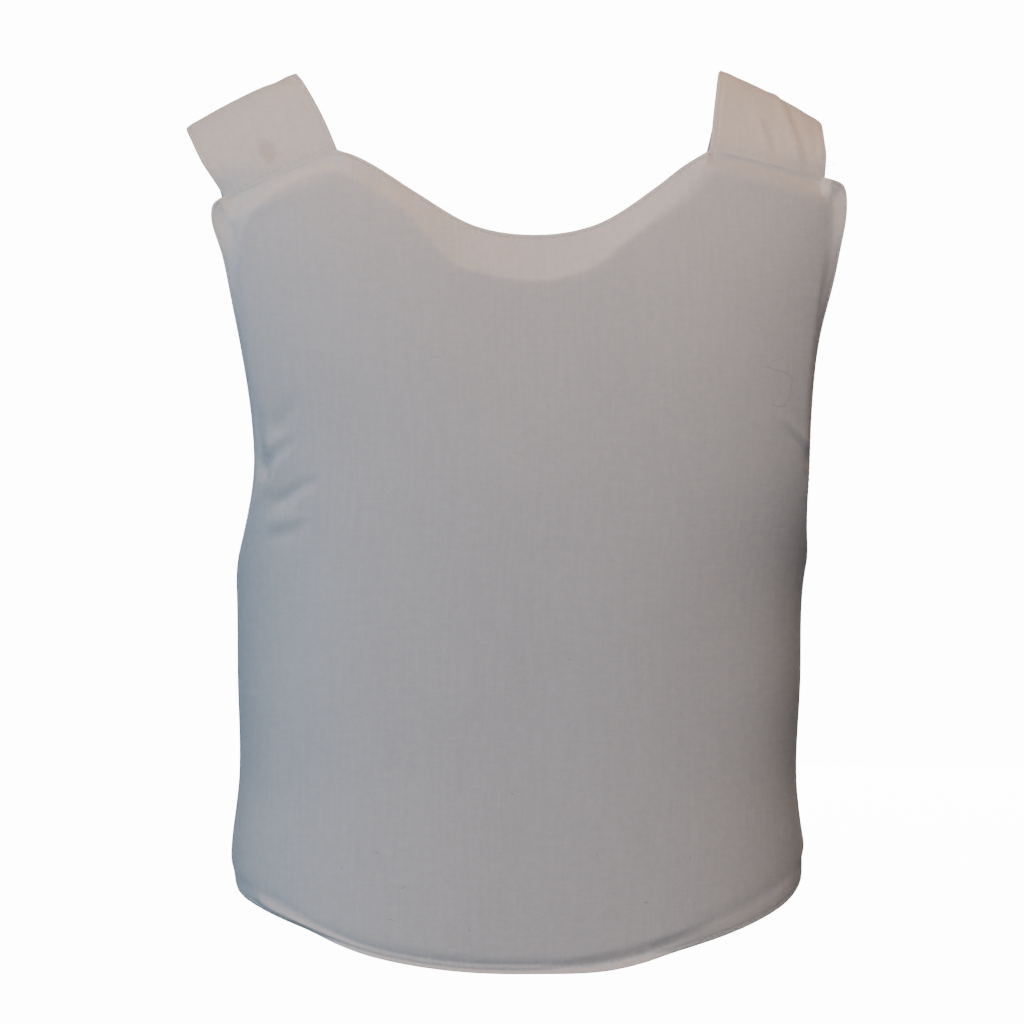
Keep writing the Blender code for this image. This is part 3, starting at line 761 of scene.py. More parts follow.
WAVES = (
    # waves across, waves up, phase, height
    (3.1, 1.7, 0.4, 0.00035),
    (-2.2, 4.3, 1.9, 0.00030),
    (6.3, -2.9, 3.3, 0.00018),
    (4.1, 7.9, 5.1, 0.00014),
    (11.0, 3.7, 0.9, 0.00008),
)
print("folds", len(CREASES), "waves", len(WAVES))

# %% [markdown]
# Each fold follows a line of its own and fades towards the line's end. The hem's lip is read
# from its table by girth. Where it is full, its thread shows as a row of small lumps.

# %% Folds, waves and the hem
def crease_depth(places):
    """How far the folds press the cover in."""
    depth = np.zeros(places.shape[:-1])
    for half_width, fold, points in CREASES:
        line = np.array(points)
        gap, run = nearest_on(line, places)
        share = run / running_length(line)[-1]
        strength = smooth_step((share + 0.1) / 0.35) * (1.0 - share) ** CREASE_FADE
        depth += fold * strength * bell(gap / (half_width * (1.25 - 0.4 * share)))
    return depth


def soft_waves(places):
    """Slow unevenness of a filled cover."""
    girth, height = places[..., 0] * 2.0 * np.pi, places[..., 1] * 2.0 * np.pi
    return sum(rise * np.sin(across * girth + up * height + phase) for across, up, phase, rise in WAVES)


def hem_flare(plan, places):
    """The hem's lip: how far it stands out, the valley above it, and its share of the missing padding."""
    left, right = plan["sides"][1.0][0], plan["sides"][-1.0][0]
    hem = np.vstack([right[::-1] * MIRROR, left[1:]])
    gap, run = nearest_on(hem, places)
    girth = np.interp(run, running_length(hem), hem[:, 0])
    table = np.array(HEM_FLARE)
    width, lift, valley, fill = (np.interp(girth, table[:, 0], column) for column in table[:, 1:].T)
    lip = lift * falloff(gap, width) ** (1.15 - 0.15 * fill)
    lip += LIP_LUMP * fill * rhythm(run, STITCH_PITCH, 0.5) * bell((gap - 0.85 * width) / LUMP_REACH)
    fill *= 1.0 - smooth_step((gap - 0.7 * width) / (0.6 * width))
    return lip, valley * bell((gap - width) / (0.34 * width)), fill


print("deepest fold", max(fold for _width, fold, _line in CREASES))

# %% [markdown]
# Along the strap's seam the cover isn't rolled but melts into the strap. The thin rims beside
# the straps stand away from the body and turn back, and the margin along the neck leans in.

# %% Seams, rims and the neck
SEAM_FACE = 0.0016
UNDER_FACE, UNDER_REACH = 0.0010, 0.0040
SEAM_SLOPE, SLOPE_END = 0.0180, 0.0040
SEAM_BLEND, SEAM_FAR = 0.0045, 0.0200


def seam_ends(sides, sign):
    """The two ends of a strap's seam, and the way from the neck's end to the armhole's."""
    neck_end, arm_end = sides[sign][1][-1], sides[sign][2][0]
    return neck_end, arm_end, unit(arm_end - neck_end)


def strap_seam(sides, places):
    """Distance to the nearer strap seam, and how far a place belongs to it rather than to the rolled edge."""
    gaps, shares = [], []
    for sign in (1.0, -1.0):
        neck_end, arm_end, way = seam_ends(sides, sign)
        offset = places * np.array([sign, 1.0]) - neck_end
        along_seam, below_seam = offset @ way, -(offset @ np.array([-way[1], way[0]]))
        from_ends = np.minimum(along_seam, np.linalg.norm(arm_end - neck_end) - along_seam)
        above_end = 1.0 - smooth_step((below_seam - SEAM_SLOPE) / SLOPE_END)
        gaps.append(np.abs(below_seam))
        shares.append(smooth_step(from_ends / SEAM_BLEND + 0.4) * above_end * (gaps[-1] < SEAM_FAR))
    nearer = np.where(shares[0] >= shares[1], gaps[0], gaps[1])
    return nearer, np.maximum(*shares)


def horn_rims(gap, places):
    """The thin rims beside the straps stand off the body, with a valley between them and the package."""
    total = 0.0
    for girth, height, reach, width, lift, valley in HORNS:
        shape = lift * falloff(gap, width) ** 1.3 - valley * bell((gap - width) / (0.3 * width))
        total = total + closeness(places, girth, height, reach) * shape
    return total


def horn_turn(plan, places):
    """How far back the rims beside the straps stand, so that they face more squarely to the back."""
    gap, _run = nearest_on(closed(plan["border"]), places)
    total = 0.0
    for girth, height, reach, width, shift in HORN_TURNS:
        total = total + closeness(places, girth, height, reach) * shift * falloff(gap, width) ** 1.2
    return total * (1.0 - strap_seam(plan["sides"], places)[1])


def neck_sink(rise, places):
    """The margin along the neck leans in towards the body."""
    square = sum(((places[..., axis] - NECK_PLACE[axis]) / NECK_REACH[axis]) ** 2 for axis in (0, 1))
    return NECK_SINK * (1.0 - rise) * (1.0 - smooth_step((square - 0.5) / 1.2))


left_neck, left_arm, _way = seam_ends(back_sides, 1.0)
print("left seam", round(float(np.linalg.norm(left_arm - left_neck)), 4), "m")

# %% [markdown]
# The whole relief is two offsets from the form, for the cover's inner and outer face. The
# package's padding comes first, then the roll and the stitches, and last what carries both.

# %% The whole relief
def cushion(plan, places):
    """Distance from the sewn edge, length along it, share of the padding, and the padded thickness."""
    edge_gap, edge_run = nearest_on(closed(plan["border"]), places)
    package_gap = np.where(inside(plan["package"], places), 0.0, nearest_on(plan["package"], places)[0])
    rise = edge_gap / np.maximum(edge_gap + package_gap, TINY)
    return edge_gap, edge_run, rise, SEAM_THICKNESS + (PACKAGE_THICKNESS - SEAM_THICKNESS) * rise


def relief(plan, places):
    """Offsets of the cover's inner and outer face from the form."""
    edge_gap, edge_run, rise, padding = cushion(plan, places)
    middle = SEAM_THICKNESS / 2.0
    lip, valley, fill = (0.0, 0.0, 0.0) if plan["front"] else hem_flare(plan, places)
    padding = np.maximum(padding, LIP_FILL * fill)
    roll = rolled(edge_gap, EDGE_ROLL * (1.0 - 0.45 * fill))
    drawn = STITCH_DRAW * rhythm(edge_run, plan["pitch"], STITCH_SWING) * (1.0 - fill)
    drawn = drawn * bell((edge_gap - STITCH_INSET) / STITCH_REACH)
    outer = middle + (padding - middle) * roll - drawn
    outer = outer + soft_waves(places) * smooth_step(edge_gap / WAVE_MARGIN)
    inner = middle * (1.0 - roll) + drawn * 0.4
    if plan["front"]:
        return inner, outer
    seam_gap, on_seam = strap_seam(plan["sides"], places)
    melted = SEAM_FACE + (padding - SEAM_FACE) * smooth_step(seam_gap / SEAM_SLOPE)
    outer = outer * (1.0 - on_seam) + melted * on_seam
    inner = inner * (1.0 - on_seam) + UNDER_FACE * on_seam * (1.0 - smooth_step(edge_gap / UNDER_REACH))
    outer = outer - valley - crease_depth(places) * smooth_step(edge_gap / CREASE_MARGIN)
    outer = np.maximum(outer, inner + middle * roll)
    carried = lip + (horn_rims(edge_gap, places) - neck_sink(rise, places)) * (1.0 - on_seam)
    return inner + carried, outer + carried


def make_plan(sides, border, package, front):
    """What is known of a panel, with the stitch pitch that divides its edge evenly."""
    length = running_length(closed(border))[-1]
    return {"sides": sides, "border": border, "package": package, "front": front,
            "pitch": length / round(length / STITCH_PITCH)}


back_plan = make_plan(back_sides, back_border, back_package, False)
front_plan = make_plan(front_sides, front_border, front_package, True)
print("stitch pitch", round(back_plan["pitch"], 5))

# %% [markdown]
# The fine cover is drawn flat first, in girths and heights. Rings of points follow the edge,
# close together where it rolls and where the stitches draw it in, and even rows of points
# fill the rest. One triangulation joins them all.

# %% Draw a panel flat
RING_DEPTHS = (0.00035, 0.0008, 0.0013, 0.0019, 0.0023, 0.0027, 0.0031, 0.0036, 0.0043, 0.0053, 0.0066)
INNER_RING_DEPTHS = (0.0005, 0.0012, 0.0023, 0.0031, 0.0050)
FINE_SPACING, COARSE_SPACING = 0.0026, 0.0070
FILLING_MARGIN = 0.0080
ROW_RATIO = 0.866
SHARPEST_TURN = 0.4
RING_CLEARANCE = 0.96


def ring(border, depth, thinning):
    """Points a little way in from the edge, without those that would cross at a corner."""
    ahead, behind = np.roll(border, -1, axis=0), np.roll(border, 1, axis=0)
    before, after = border - behind, ahead - border
    turn = np.array([[0.0, 1.0], [-1.0, 0.0]])
    inward = unit(before @ turn) + unit(after @ turn)
    inward /= np.maximum((inward ** 2).sum(axis=1, keepdims=True) / 2.0, SHARPEST_TURN)
    points = (border + inward * depth)[::thinning]
    gap, _run = nearest_on(closed(border), points)
    return points[gap > RING_CLEARANCE * depth]


def filling(border, spacing):
    """Evenly staggered points inside a panel, a little way off its edge."""
    low, high = border.min(axis=0), border.max(axis=0)
    rows = []
    for number, height in enumerate(np.arange(low[1], high[1], spacing * ROW_RATIO)):
        girths = np.arange(low[0] + (number % 2) * spacing / 2.0, high[0], spacing)
        rows.append(np.stack([girths, np.full(len(girths), height)], axis=-1))
    points = np.vstack(rows)
    points = points[inside(closed(border), points)]
    gap, _run = nearest_on(closed(border), points)
    return points[gap > FILLING_MARGIN]


def triangulate(border, rings, fill):
    """Flat triangles over a panel. The border's points come first, in their order."""
    points = np.vstack([border] + rings + [fill])
    count = len(border)
    edges = [(number, (number + 1) % count) for number in range(count)]
    flat, _edges, faces, origins, _e, _f = delaunay_2d_cdt(points.tolist(), edges, [], 1, 1e-8)
    order = np.full(len(points), -1)
    for number, sources in enumerate(origins):
        for source in sources:
            order[source] = number
    rank = np.full(len(flat), -1)
    rank[order[:count]] = np.arange(count)
    others = np.flatnonzero(rank < 0)
    rank[others] = count + np.arange(len(others))
    places = np.empty((len(flat), 2))
    places[rank] = np.array([tuple(point) for point in flat])
    return places, rank[np.array(faces)]


print("rings", len(RING_DEPTHS), "outside,", len(INNER_RING_DEPTHS), "inside")

# %% [markdown]
# The flat drawing is laid on the form with its relief. The outer and the inner face share the
# edge's points, so the cover is one closed skin. Each point also keeps how much painted shade it
# gets over the package, which the cloth's finish reads to paint itself darker and cooler there.

# %% The back panel
# These measures shape the painted shade over the package: its blur, and its reach at the corners beside the
# straps.
PACKAGE_BLUR = 0.0060
CORNER_GIRTH, CORNER_REACH = 0.1400, 0.0550
CORNER_LOW, CORNER_RISE = -0.1500, 0.0500
RIGHT_POCKET, LEFT_POCKET = 0.0115, 0.0035
PLATE_INSET = 0.0020


def link(name, points, faces):
    """A new mesh object from points and faces."""
    mesh = bpy.data.meshes.new(name)
    mesh.from_pydata(np.asarray(points).tolist(), [], np.asarray(faces).tolist())
    piece = bpy.data.objects.new(name, mesh)
    bpy.context.scene.collection.objects.link(piece)
    return piece


def lay_uv(mesh, places):
    """A UV map in metres, so that the weave follows the cloth at its true size."""
    corners = np.empty(len(mesh.loops), dtype=np.int32)
    mesh.loops.foreach_get("vertex_index", corners)
    layer = mesh.uv_layers.new(name="cloth")
    layer.data.foreach_set("uv", places[corners].astype(np.float32).ravel())


def package_shade_share(plan, places):
    """How much painted shade each place gets, from 0 in the margins to 1 over the package."""
    gap, _run = nearest_on(plan["package"], places)
    signed = np.where(inside(plan["package"], places), gap, -gap)
    girth, height = np.abs(places[..., 0]), places[..., 1]
    corner = bell((girth - CORNER_GIRTH) / CORNER_REACH) * smooth_step((height - CORNER_LOW) / CORNER_RISE)
    at_right = corner * (places[..., 0] < 0.0)
    at_left = corner - at_right
    blur = PACKAGE_BLUR * (1.0 + 0.5 * at_left - 0.4 * at_right)
    pocket = np.clip(0.5 + (signed + RIGHT_POCKET * at_right + LEFT_POCKET * at_left) / blur, 0.0, 1.0)
    plate = np.clip(0.5 + (signed - PLATE_INSET * corner) / PACKAGE_BLUR, 0.0, 1.0)
    share = 0.5 + 0.2 * at_right
    return (share * pocket + (1.0 - share) * plate).astype(np.float32)


def on_cover(plan, places, outer=True):
    """Places on a panel's cover."""
    inner_offset, outer_offset = relief(plan, places)
    offset = outer_offset if outer else inner_offset
    spot = (places[..., 0], places[..., 1], plan["front"])
    points = on_form(*spot) + form_normal(*spot) * offset[..., None]
    if not plan["front"]:
        points[..., 1] += horn_turn(plan, places)
    return points


def make_cover(name, plan, material):
    """One padded panel: its outer and inner skins, sewn together along the edge."""
    border = plan["border"]
    outer_rings = [ring(border, depth, 1) for depth in RING_DEPTHS]
    inner_rings = [ring(border, depth, 2) for depth in INNER_RING_DEPTHS]
    outer_places, outer_faces = triangulate(border, outer_rings, filling(border, FINE_SPACING))
    inner_places, inner_faces = triangulate(border, inner_rings, filling(border, COARSE_SPACING))
    count, shift = len(border), len(outer_places) - len(border)
    inner_faces = np.where(inner_faces < count, inner_faces, inner_faces + shift)
    points = np.vstack([on_cover(plan, outer_places), on_cover(plan, inner_places, outer=False)[count:]])
    if plan["front"]:
        inner_faces = inner_faces[:, ::-1]
    else:
        outer_faces = outer_faces[:, ::-1]
    piece = link(name, points, np.vstack([outer_faces, inner_faces]))
    every_place = np.vstack([outer_places, inner_places[count:]])
    lay_uv(piece.data, every_place)
    # Each point keeps its share of painted shade, for the finish to read.
    backing = piece.data.attributes.new("backing", "FLOAT", "POINT")
    backing.data.foreach_set("value", package_shade_share(plan, every_place))
    piece.data.materials.append(material)
    piece.data.shade_smooth()
    print(name, len(piece.data.polygons), "triangles")
    return piece


back_cover = make_cover("back_panel_cover", back_plan, carrier_cloth)
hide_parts("back_panel")
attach(back_cover, "root")

# %% [markdown]
# The front panel is cut to its own outline, higher at the sides and lower at the neck. It
# carries the straps' ends on its face, so it is made the same way but without the folds.

# %% The front panel
front_cover = make_cover("front_panel_cover", front_plan, carrier_cloth)
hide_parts("front_panel")
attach(front_cover, "root")

# %% [markdown]
# A strap is a flat strip that bends with the shoulder. Lanes of points run along it, each on
# its own path, so that it never cuts into the panels. A shoulder strap starts under the back
# panel's top seam, crosses the shoulder by the rows of a table and lies on the front panel.

# %% The shoulder straps' paths
STRAP_THICKNESS = 0.0024
STRAP_WIDTH = 0.0760
STRAP_CROWN = 0.0022
STRAP_TUCK, TUCK_ROWS = 0.0260, 3
SEAT_GAP = 0.0009
LAP_START, LAP_END, LAP_ROWS = 0.0160, -0.1300, 5
LAP_SLANT = 0.5
ACROSS = np.linspace(-0.5, 0.5, 5)
STRAP_PATH = (
    # y, then the left strap's middle, height and width, then the right strap's, then the slope outwards
    (0.052, 0.1545, -0.0300, 0.0757, -0.1455, -0.0230, 0.0735, 0.460),
    (0.030, 0.1637, -0.0105, 0.0755, -0.1490, -0.0030, 0.0712, 0.500),
    (0.006, 0.1674, -0.0020, 0.0746, -0.1525, 0.0030, 0.0696, 0.510),
    (-0.020, 0.1640, -0.0040, 0.0750, -0.1560, 0.0000, 0.0700, 0.480),
    (-0.048, 0.1515, -0.0220, 0.0755, -0.1580, -0.0200, 0.0720, 0.440),
    (-0.068, 0.1440, -0.0480, 0.0760, -0.1550, -0.0470, 0.0745, 0.400),
)


def tucked_rows(sign):
    """The stretch of a shoulder strap under the back panel's top seam."""
    neck_end, arm_end, way = seam_ends(back_sides, sign)
    down = np.array([way[1], -way[0]])
    rows = []
    for drop in np.linspace(STRAP_TUCK, 0.0, TUCK_ROWS):
        places = (neck_end + arm_end) / 2.0 + down * drop + way * ACROSS[:, None] * STRAP_WIDTH
        girths, heights = sign * places[:, 0], places[:, 1]
        rows.append(on_form(girths, heights) - form_normal(girths, heights) * (SEAT_GAP + STRAP_THICKNESS))
    return rows


def free_rows(sign):
    """The stretch of a shoulder strap between the two panels."""
    rows = []
    for y, left_x, left_z, left_width, right_x, right_z, right_width, slope in STRAP_PATH:
        x, z, width = (left_x, left_z, left_width) if sign > 0.0 else (right_x, right_z, right_width)
        reach = ACROSS * width / np.hypot(1.0, slope)
        crown = STRAP_CROWN * (1.0 - 4.0 * ACROSS ** 2)
        rows.append(np.stack([x + sign * reach, np.full(len(reach), y), z - slope * reach + crown], axis=-1))
    return rows


def lapped_rows(sign):
    """The stretch of a shoulder strap on the front panel's face."""
    neck_end, arm_end, way = seam_ends(front_sides, sign)
    middle = (neck_end + arm_end) / 2.0
    girths = sign * (middle[0] + ACROSS * STRAP_WIDTH)
    rows = []
    for height in np.linspace(middle[1] - LAP_START, LAP_END, LAP_ROWS):
        heights = height + ACROSS * STRAP_WIDTH * way[1] * LAP_SLANT
        raised = cushion(front_plan, np.stack([girths, heights], axis=-1))[3].max() + SEAT_GAP
        rows.append(on_form(girths, heights, True) + form_normal(girths, heights, True) * raised)
    return rows


print("rows of a strap", TUCK_ROWS, "+", len(STRAP_PATH), "+", LAP_ROWS)

# %% [markdown]
# Smooth curves turn the lanes into a fine sheet, with closer columns along its edges. The
# edges are folded under and sewn, which leaves a rounded rim and a shallow groove.

# %% Straps from lanes
SHEET_STEP = 0.0020
EDGE_COLUMNS = (0.0, 0.0004, 0.0009, 0.0015, 0.0021, 0.0027, 0.0033, 0.0042)
STRAP_DRAW, STRAP_SWING = 0.00035, 0.4
SWELL, SWELL_INSET, SWELL_REACH = 0.0003, 0.0055, 0.0035
RIPPLE_MARGIN = 0.0040


def fine_sheet(lanes):
    """A fine grid of points over a few lanes, smooth both along and across."""
    lines = [curve_through(lane) for lane in lanes]
    length = np.mean([running_length(line)[-1] for line in lines])
    width = running_length(np.array([line[0] for line in lines]))[-1]
    rows = np.linspace(0.0, 1.0, int(length / SHEET_STEP) + 1)
    laid = np.stack([along(line, rows) for line in lines], axis=1)
    edge = np.array(EDGE_COLUMNS) / width
    between = np.linspace(edge[-1], 1.0 - edge[-1], int(width / SHEET_STEP))[1:-1]
    columns = np.concatenate([edge, between, 1.0 - edge[::-1]])
    grid = np.stack([along(curve_through(row), columns) for row in laid])
    return grid, rows * length, columns * width


def sheet_normal(grid):
    """Directions straight out of a grid whose rows run along a strap."""
    return unit(np.cross(np.gradient(grid, axis=1), np.gradient(grid, axis=0)))


def strap_profile(runs, widths, thickness, ripple):
    """Offsets of a strap's two faces from its underside: rolled rims, and a groove under the stitches."""
    side_gap = np.minimum(widths, widths[-1] - widths)[None, :]
    end_gap = np.minimum(runs, runs[-1] - runs)[:, None]
    gap = np.minimum(side_gap, end_gap)
    middle = thickness / 2.0
    roll = rolled(gap, middle)
    holes = rhythm(runs, STITCH_PITCH, STRAP_SWING)[:, None]
    drawn = STRAP_DRAW * holes * bell((side_gap - STITCH_INSET) / STITCH_REACH)
    swell = SWELL * bell((side_gap - SWELL_INSET) / SWELL_REACH)
    raised = (swell + ripple) * smooth_step(gap / RIPPLE_MARGIN)
    return middle * (1.0 - roll) + drawn * 0.5, middle + middle * roll - drawn + raised


def grid_faces(rows, columns, reverse):
    """The numbers of a grid's corners, face by face."""
    number = np.arange(rows * columns).reshape(rows, columns)
    corners = (number[:-1, :-1], number[:-1, 1:], number[1:, 1:], number[1:, :-1])
    faces = np.stack(corners, axis=-1).reshape(-1, 4)
    return faces[:, ::-1] if reverse else faces


def make_strap(name, lanes, thickness, material, sign, ripple, lift=None):
    """A strap whose two faces share their rim, as one closed skin."""
    grid, runs, widths = fine_sheet(lanes)
    outward = sheet_normal(grid) * -sign
    if lift:
        grid = grid + outward * lift(runs)[:, None, None]
    bumps = ripple(runs[:, None], widths[None, :])
    inner_offset, outer_offset = strap_profile(runs, widths, thickness, bumps)
    outer = grid + outward * outer_offset[..., None]
    inner = grid + outward * inner_offset[..., None]
    rows, columns = grid.shape[:2]
    rim = np.ones((rows, columns), dtype=bool)
    rim[1:-1, 1:-1] = False
    total = rows * columns
    inner_number = np.where(rim.ravel(), np.arange(total), total + np.cumsum(~rim.ravel()) - 1)
    outer_faces = grid_faces(rows, columns, sign < 0.0)
    inner_faces = inner_number[grid_faces(rows, columns, sign > 0.0)]
    points = np.vstack([outer.reshape(-1, 3), inner.reshape(-1, 3)[~rim.ravel()]])
    piece = link(name, points, np.vstack([outer_faces, inner_faces]))
    flat = np.stack(np.meshgrid(widths, runs), axis=-1).reshape(-1, 2)
    lay_uv(piece.data, np.vstack([flat, flat[~rim.ravel()]]))
    piece.data.materials.append(material)
    piece.data.shade_smooth()
    print(name, len(piece.data.polygons), "faces,", round(runs[-1], 3), "m by", round(widths[-1], 3), "m")
    return piece, {"grid": outer, "outward": outward, "runs": runs, "widths": widths}


print("columns along a strap's edge", len(EDGE_COLUMNS))

# %% [markdown]
# The left shoulder strap lies smooth. The right one has two soft folds that run down from
# its crest, where it turns over the shoulder. Both go under the back panel's top seam and
# end on the front panel's face.

# %% The shoulder straps
STRAP_FOLDS = {
    # strap: rows of start run, start width, end run, end width, half width, rise or depth
    1.0: (
        (0.0320, 0.0052, 0.0980, 0.0046, 0.0022, -0.0005),
        (0.0320, 0.0672, 0.0900, 0.0655, 0.0030, -0.0006),
        (0.0950, 0.0030, 0.1130, 0.0150, 0.0045, -0.0006),
        (0.0400, 0.0300, 0.0700, 0.0200, 0.0080, 0.0004),
    ),
    -1.0: (
        (0.0960, 0.0390, 0.0380, 0.0550, 0.0046, 0.0010),
        (0.0960, 0.0445, 0.0380, 0.0605, 0.0042, -0.0007),
        (0.0560, 0.0290, 0.0360, 0.0350, 0.0036, 0.0007),
        (0.0560, 0.0340, 0.0360, 0.0400, 0.0034, -0.0005),
        (0.0340, 0.0680, 0.0900, 0.0660, 0.0026, -0.0005),
    ),
}
STRAP_WAVE = 0.00015
SEAM_LIFT = 0.0027
LIFT_START, LIFT_END = 0.0060, 0.0300


def strap_folds(sign):
    """The folds of one strap as a height over its length and width."""
    def height(runs, widths):
        runs, widths = np.broadcast_arrays(runs, widths)
        places = np.stack([runs, widths], axis=-1)
        total = STRAP_WAVE * np.sin(runs * 95.0 + 1.3) * np.sin(widths * 60.0 + 0.4)
        for start_run, start_width, end_run, end_width, half_width, rise in STRAP_FOLDS[sign]:
            gap, _run = nearest_on(np.array([(start_run, start_width), (end_run, end_width)]), places)
            total = total + rise * bell(gap / half_width)
        return total
    return height


def seam_lift(runs):
    """Beside the seam the strap lies level with the cover that it is sewn to, and dips under it."""
    started = smooth_step((runs - STRAP_TUCK + LIFT_START) / LIFT_START)
    return SEAM_LIFT * started * (1.0 - smooth_step((runs - LIFT_END) / LIFT_END))


strap_layouts = {}
for side, sign, cloth in (("left", 1.0, strap_left_cloth), ("right", -1.0, strap_right_cloth)):
    rows = tucked_rows(sign) + free_rows(sign) + lapped_rows(sign)
    strap, layout = make_strap(f"shoulder_strap_{side}_cloth", np.stack(rows, axis=1), STRAP_THICKNESS,
                               cloth, sign, strap_folds(sign), seam_lift)
    strap_layouts[sign] = layout
    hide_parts(f"shoulder_strap_{side}")
    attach(strap, "root")

# %% [markdown]
# Wide elastic bands close the sides. Each starts under the back panel's wing, rises over the
# edge of it and ends on the front panel. They hold the vest by their stretch.

# %% The side straps
BAND_MIDDLE = -0.3850
BAND_WIDTH = 0.0720
BAND_THICKNESS = 0.0020
BAND_GIRTHS = np.linspace(0.2300, 0.3600, 14)
BAND_RISE_START = 0.0020
BAND_RISE = 0.0200
CORD_RISE, CORD_PITCH = 0.00012, 0.0060


def band_lanes(sign):
    """Lanes of a side strap, from under the back panel's wing to the front panel's face."""
    under = -(SEAT_GAP + BAND_THICKNESS)
    over = PACKAGE_THICKNESS + SEAT_GAP
    risen = smooth_step((BAND_GIRTHS - BACK_ARMHOLE[0][0] - BAND_RISE_START) / BAND_RISE)
    raised = (under + (over - under) * risen)[:, None]
    lanes = []
    for share in ACROSS:
        place = (sign * BAND_GIRTHS, BAND_MIDDLE - share * BAND_WIDTH)
        lanes.append(on_form(*place) + form_normal(*place) * raised)
    return np.stack(lanes)


def band_cords(_runs, widths):
    """Fine cords along the elastic."""
    return CORD_RISE * np.cos(2.0 * np.pi * widths / CORD_PITCH)


band_layouts = {}
for side, sign in (("left", 1.0), ("right", -1.0)):
    band, layout = make_strap(f"side_strap_{side}_elastic", band_lanes(sign), BAND_THICKNESS,
                              elastic_band, sign, band_cords)
    band_layouts[sign] = layout
    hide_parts(f"side_strap_{side}")
    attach(band, "root")

# %% [markdown]
# Stitches are small capsules of thread, one for each step of the seam. One capsule is shaped
# once, and copies of it are turned along the seam and joined to a single mesh for each piece.

# %% The panels' stitches
STITCH_LENGTH = 0.0029
THREAD_RADIUS = 0.00023
THREAD_LIFT = 0.0001
SHORT_WAY, EDGE_WAY, STRAP_WAY = 0.0007, 0.0006, 0.0005
CAPSULE_RINGS = ((-0.50, 0.30), (-0.30, 0.95), (0.0, 1.0), (0.30, 0.95), (0.50, 0.30))
CAPSULE_SIDES = 5


def ringed_faces(rings, sides):
    """Triangles of a closed tube whose points are listed ring by ring."""
    faces = []
    for row in range(rings - 1):
        for side in range(sides):
            a, b = row * sides + side, row * sides + (side + 1) % sides
            faces += [(a, a + sides, b), (b, a + sides, b + sides)]
    last = (rings - 1) * sides
    for side in range(1, sides - 1):
        faces += [(0, side, side + 1), (last, last + side + 1, last + side)]
    return np.array(faces)


def capsule():
    """Points and faces of one stitch, along x, one unit long and one unit in radius."""
    angles = np.linspace(0.0, 2.0 * np.pi, CAPSULE_SIDES, endpoint=False)
    points = [(place, size * np.cos(angle), size * np.sin(angle))
              for place, size in CAPSULE_RINGS for angle in angles]
    return np.array(points), ringed_faces(len(CAPSULE_RINGS), CAPSULE_SIDES)


def stitch_mesh(spots, ways, outward, length=STITCH_LENGTH, radius=THREAD_RADIUS):
    """Capsules at the spots, along the ways."""
    points, faces = capsule()
    ways = unit(ways)
    across = unit(np.cross(outward, ways))
    up = np.cross(ways, across)
    laid = (spots[:, None] + ways[:, None] * points[None, :, :1] * length
            + across[:, None] * points[None, :, 1:2] * radius + up[:, None] * points[None, :, 2:] * radius)
    numbers = faces[None] + (np.arange(len(spots)) * len(points))[:, None, None]
    return laid.reshape(-1, 3), numbers.reshape(-1, 3)


def joined(parts):
    """Several meshes as one list of points and one of faces."""
    points, faces, count = [], [], 0
    for part_points, part_faces in parts:
        points.append(part_points)
        faces.append(part_faces + count)
        count += len(part_points)
    return np.vstack(points), np.vstack(faces)


def thread_piece(name, parts, material):
    """A piece made of threads, which rides with the vest."""
    piece = link(name, *joined(parts))
    piece.data.materials.append(material)
    piece.data.shade_smooth()
    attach(piece, "root")
    print(name, len(piece.data.polygons), "triangles")


def edge_stitches(plan):
    """Stitches all round a panel, in step with the needle holes of its relief."""
    border = closed(plan["border"])
    length = running_length(border)[-1]
    spots = (np.arange(round(length / plan["pitch"])) + 0.5) * plan["pitch"]
    way = unit(at_runs(border, (spots + EDGE_WAY) % length) - at_runs(border, (spots - EDGE_WAY) % length))
    places = at_runs(border, spots) + np.stack([-way[:, 1], way[:, 0]], axis=-1) * STITCH_INSET
    if not plan["front"]:
        at_lip = hem_flare(plan, places)[2] > 0.3
        free = (strap_seam(plan["sides"], places)[1] < 0.5) & ~at_lip
        places, way = places[free], way[free]
    along_way = on_cover(plan, places + way * SHORT_WAY) - on_cover(plan, places - way * SHORT_WAY)
    outward = form_normal(places[:, 0], places[:, 1], plan["front"])
    return stitch_mesh(on_cover(plan, places) + outward * THREAD_LIFT, along_way, outward)


thread_piece("back_edge_stitches", [edge_stitches(back_plan)], sewing_thread)
thread_piece("front_edge_stitches", [edge_stitches(front_plan)], sewing_thread)

# %% [markdown]
# Each strap has a row of stitches along both folded edges. On the front panel a sewn box
# with a cross holds the shoulder straps, and two rows hold the ends of the elastic.

# %% Stitches on the straps
ROW_ENDS, END_ROW, SECOND_ROW = 0.0040, 0.0030, 0.0120
BOX_START, BOX_END, BOX_INSET = 0.0460, 0.0060, 0.0040
SEAM_STITCH_RUN, SEAM_STITCH_INSET = 0.0030, 0.0060
SEAM_STITCH_PITCH, SEAM_STITCH_LENGTH = 0.0044, 0.0009
SEAM_THREAD_RADIUS = {1.0: 0.00014, -1.0: 0.00009}


def sheet_lookup(layout, places):
    """Points and outward directions on a strap's outer face."""
    run, width = places.T
    runs, widths = layout["runs"], layout["widths"]
    i = np.clip(np.searchsorted(runs, run, side="right") - 1, 0, len(runs) - 2)
    j = np.clip(np.searchsorted(widths, width, side="right") - 1, 0, len(widths) - 2)
    u = ((run - runs[i]) / (runs[i + 1] - runs[i]))[:, None]
    v = ((width - widths[j]) / (widths[j + 1] - widths[j]))[:, None]
    found = []
    for values in (layout["grid"], layout["outward"]):
        found.append((values[i, j] * (1 - v) + values[i, j + 1] * v) * (1 - u)
                     + (values[i + 1, j] * (1 - v) + values[i + 1, j + 1] * v) * u)
    return found


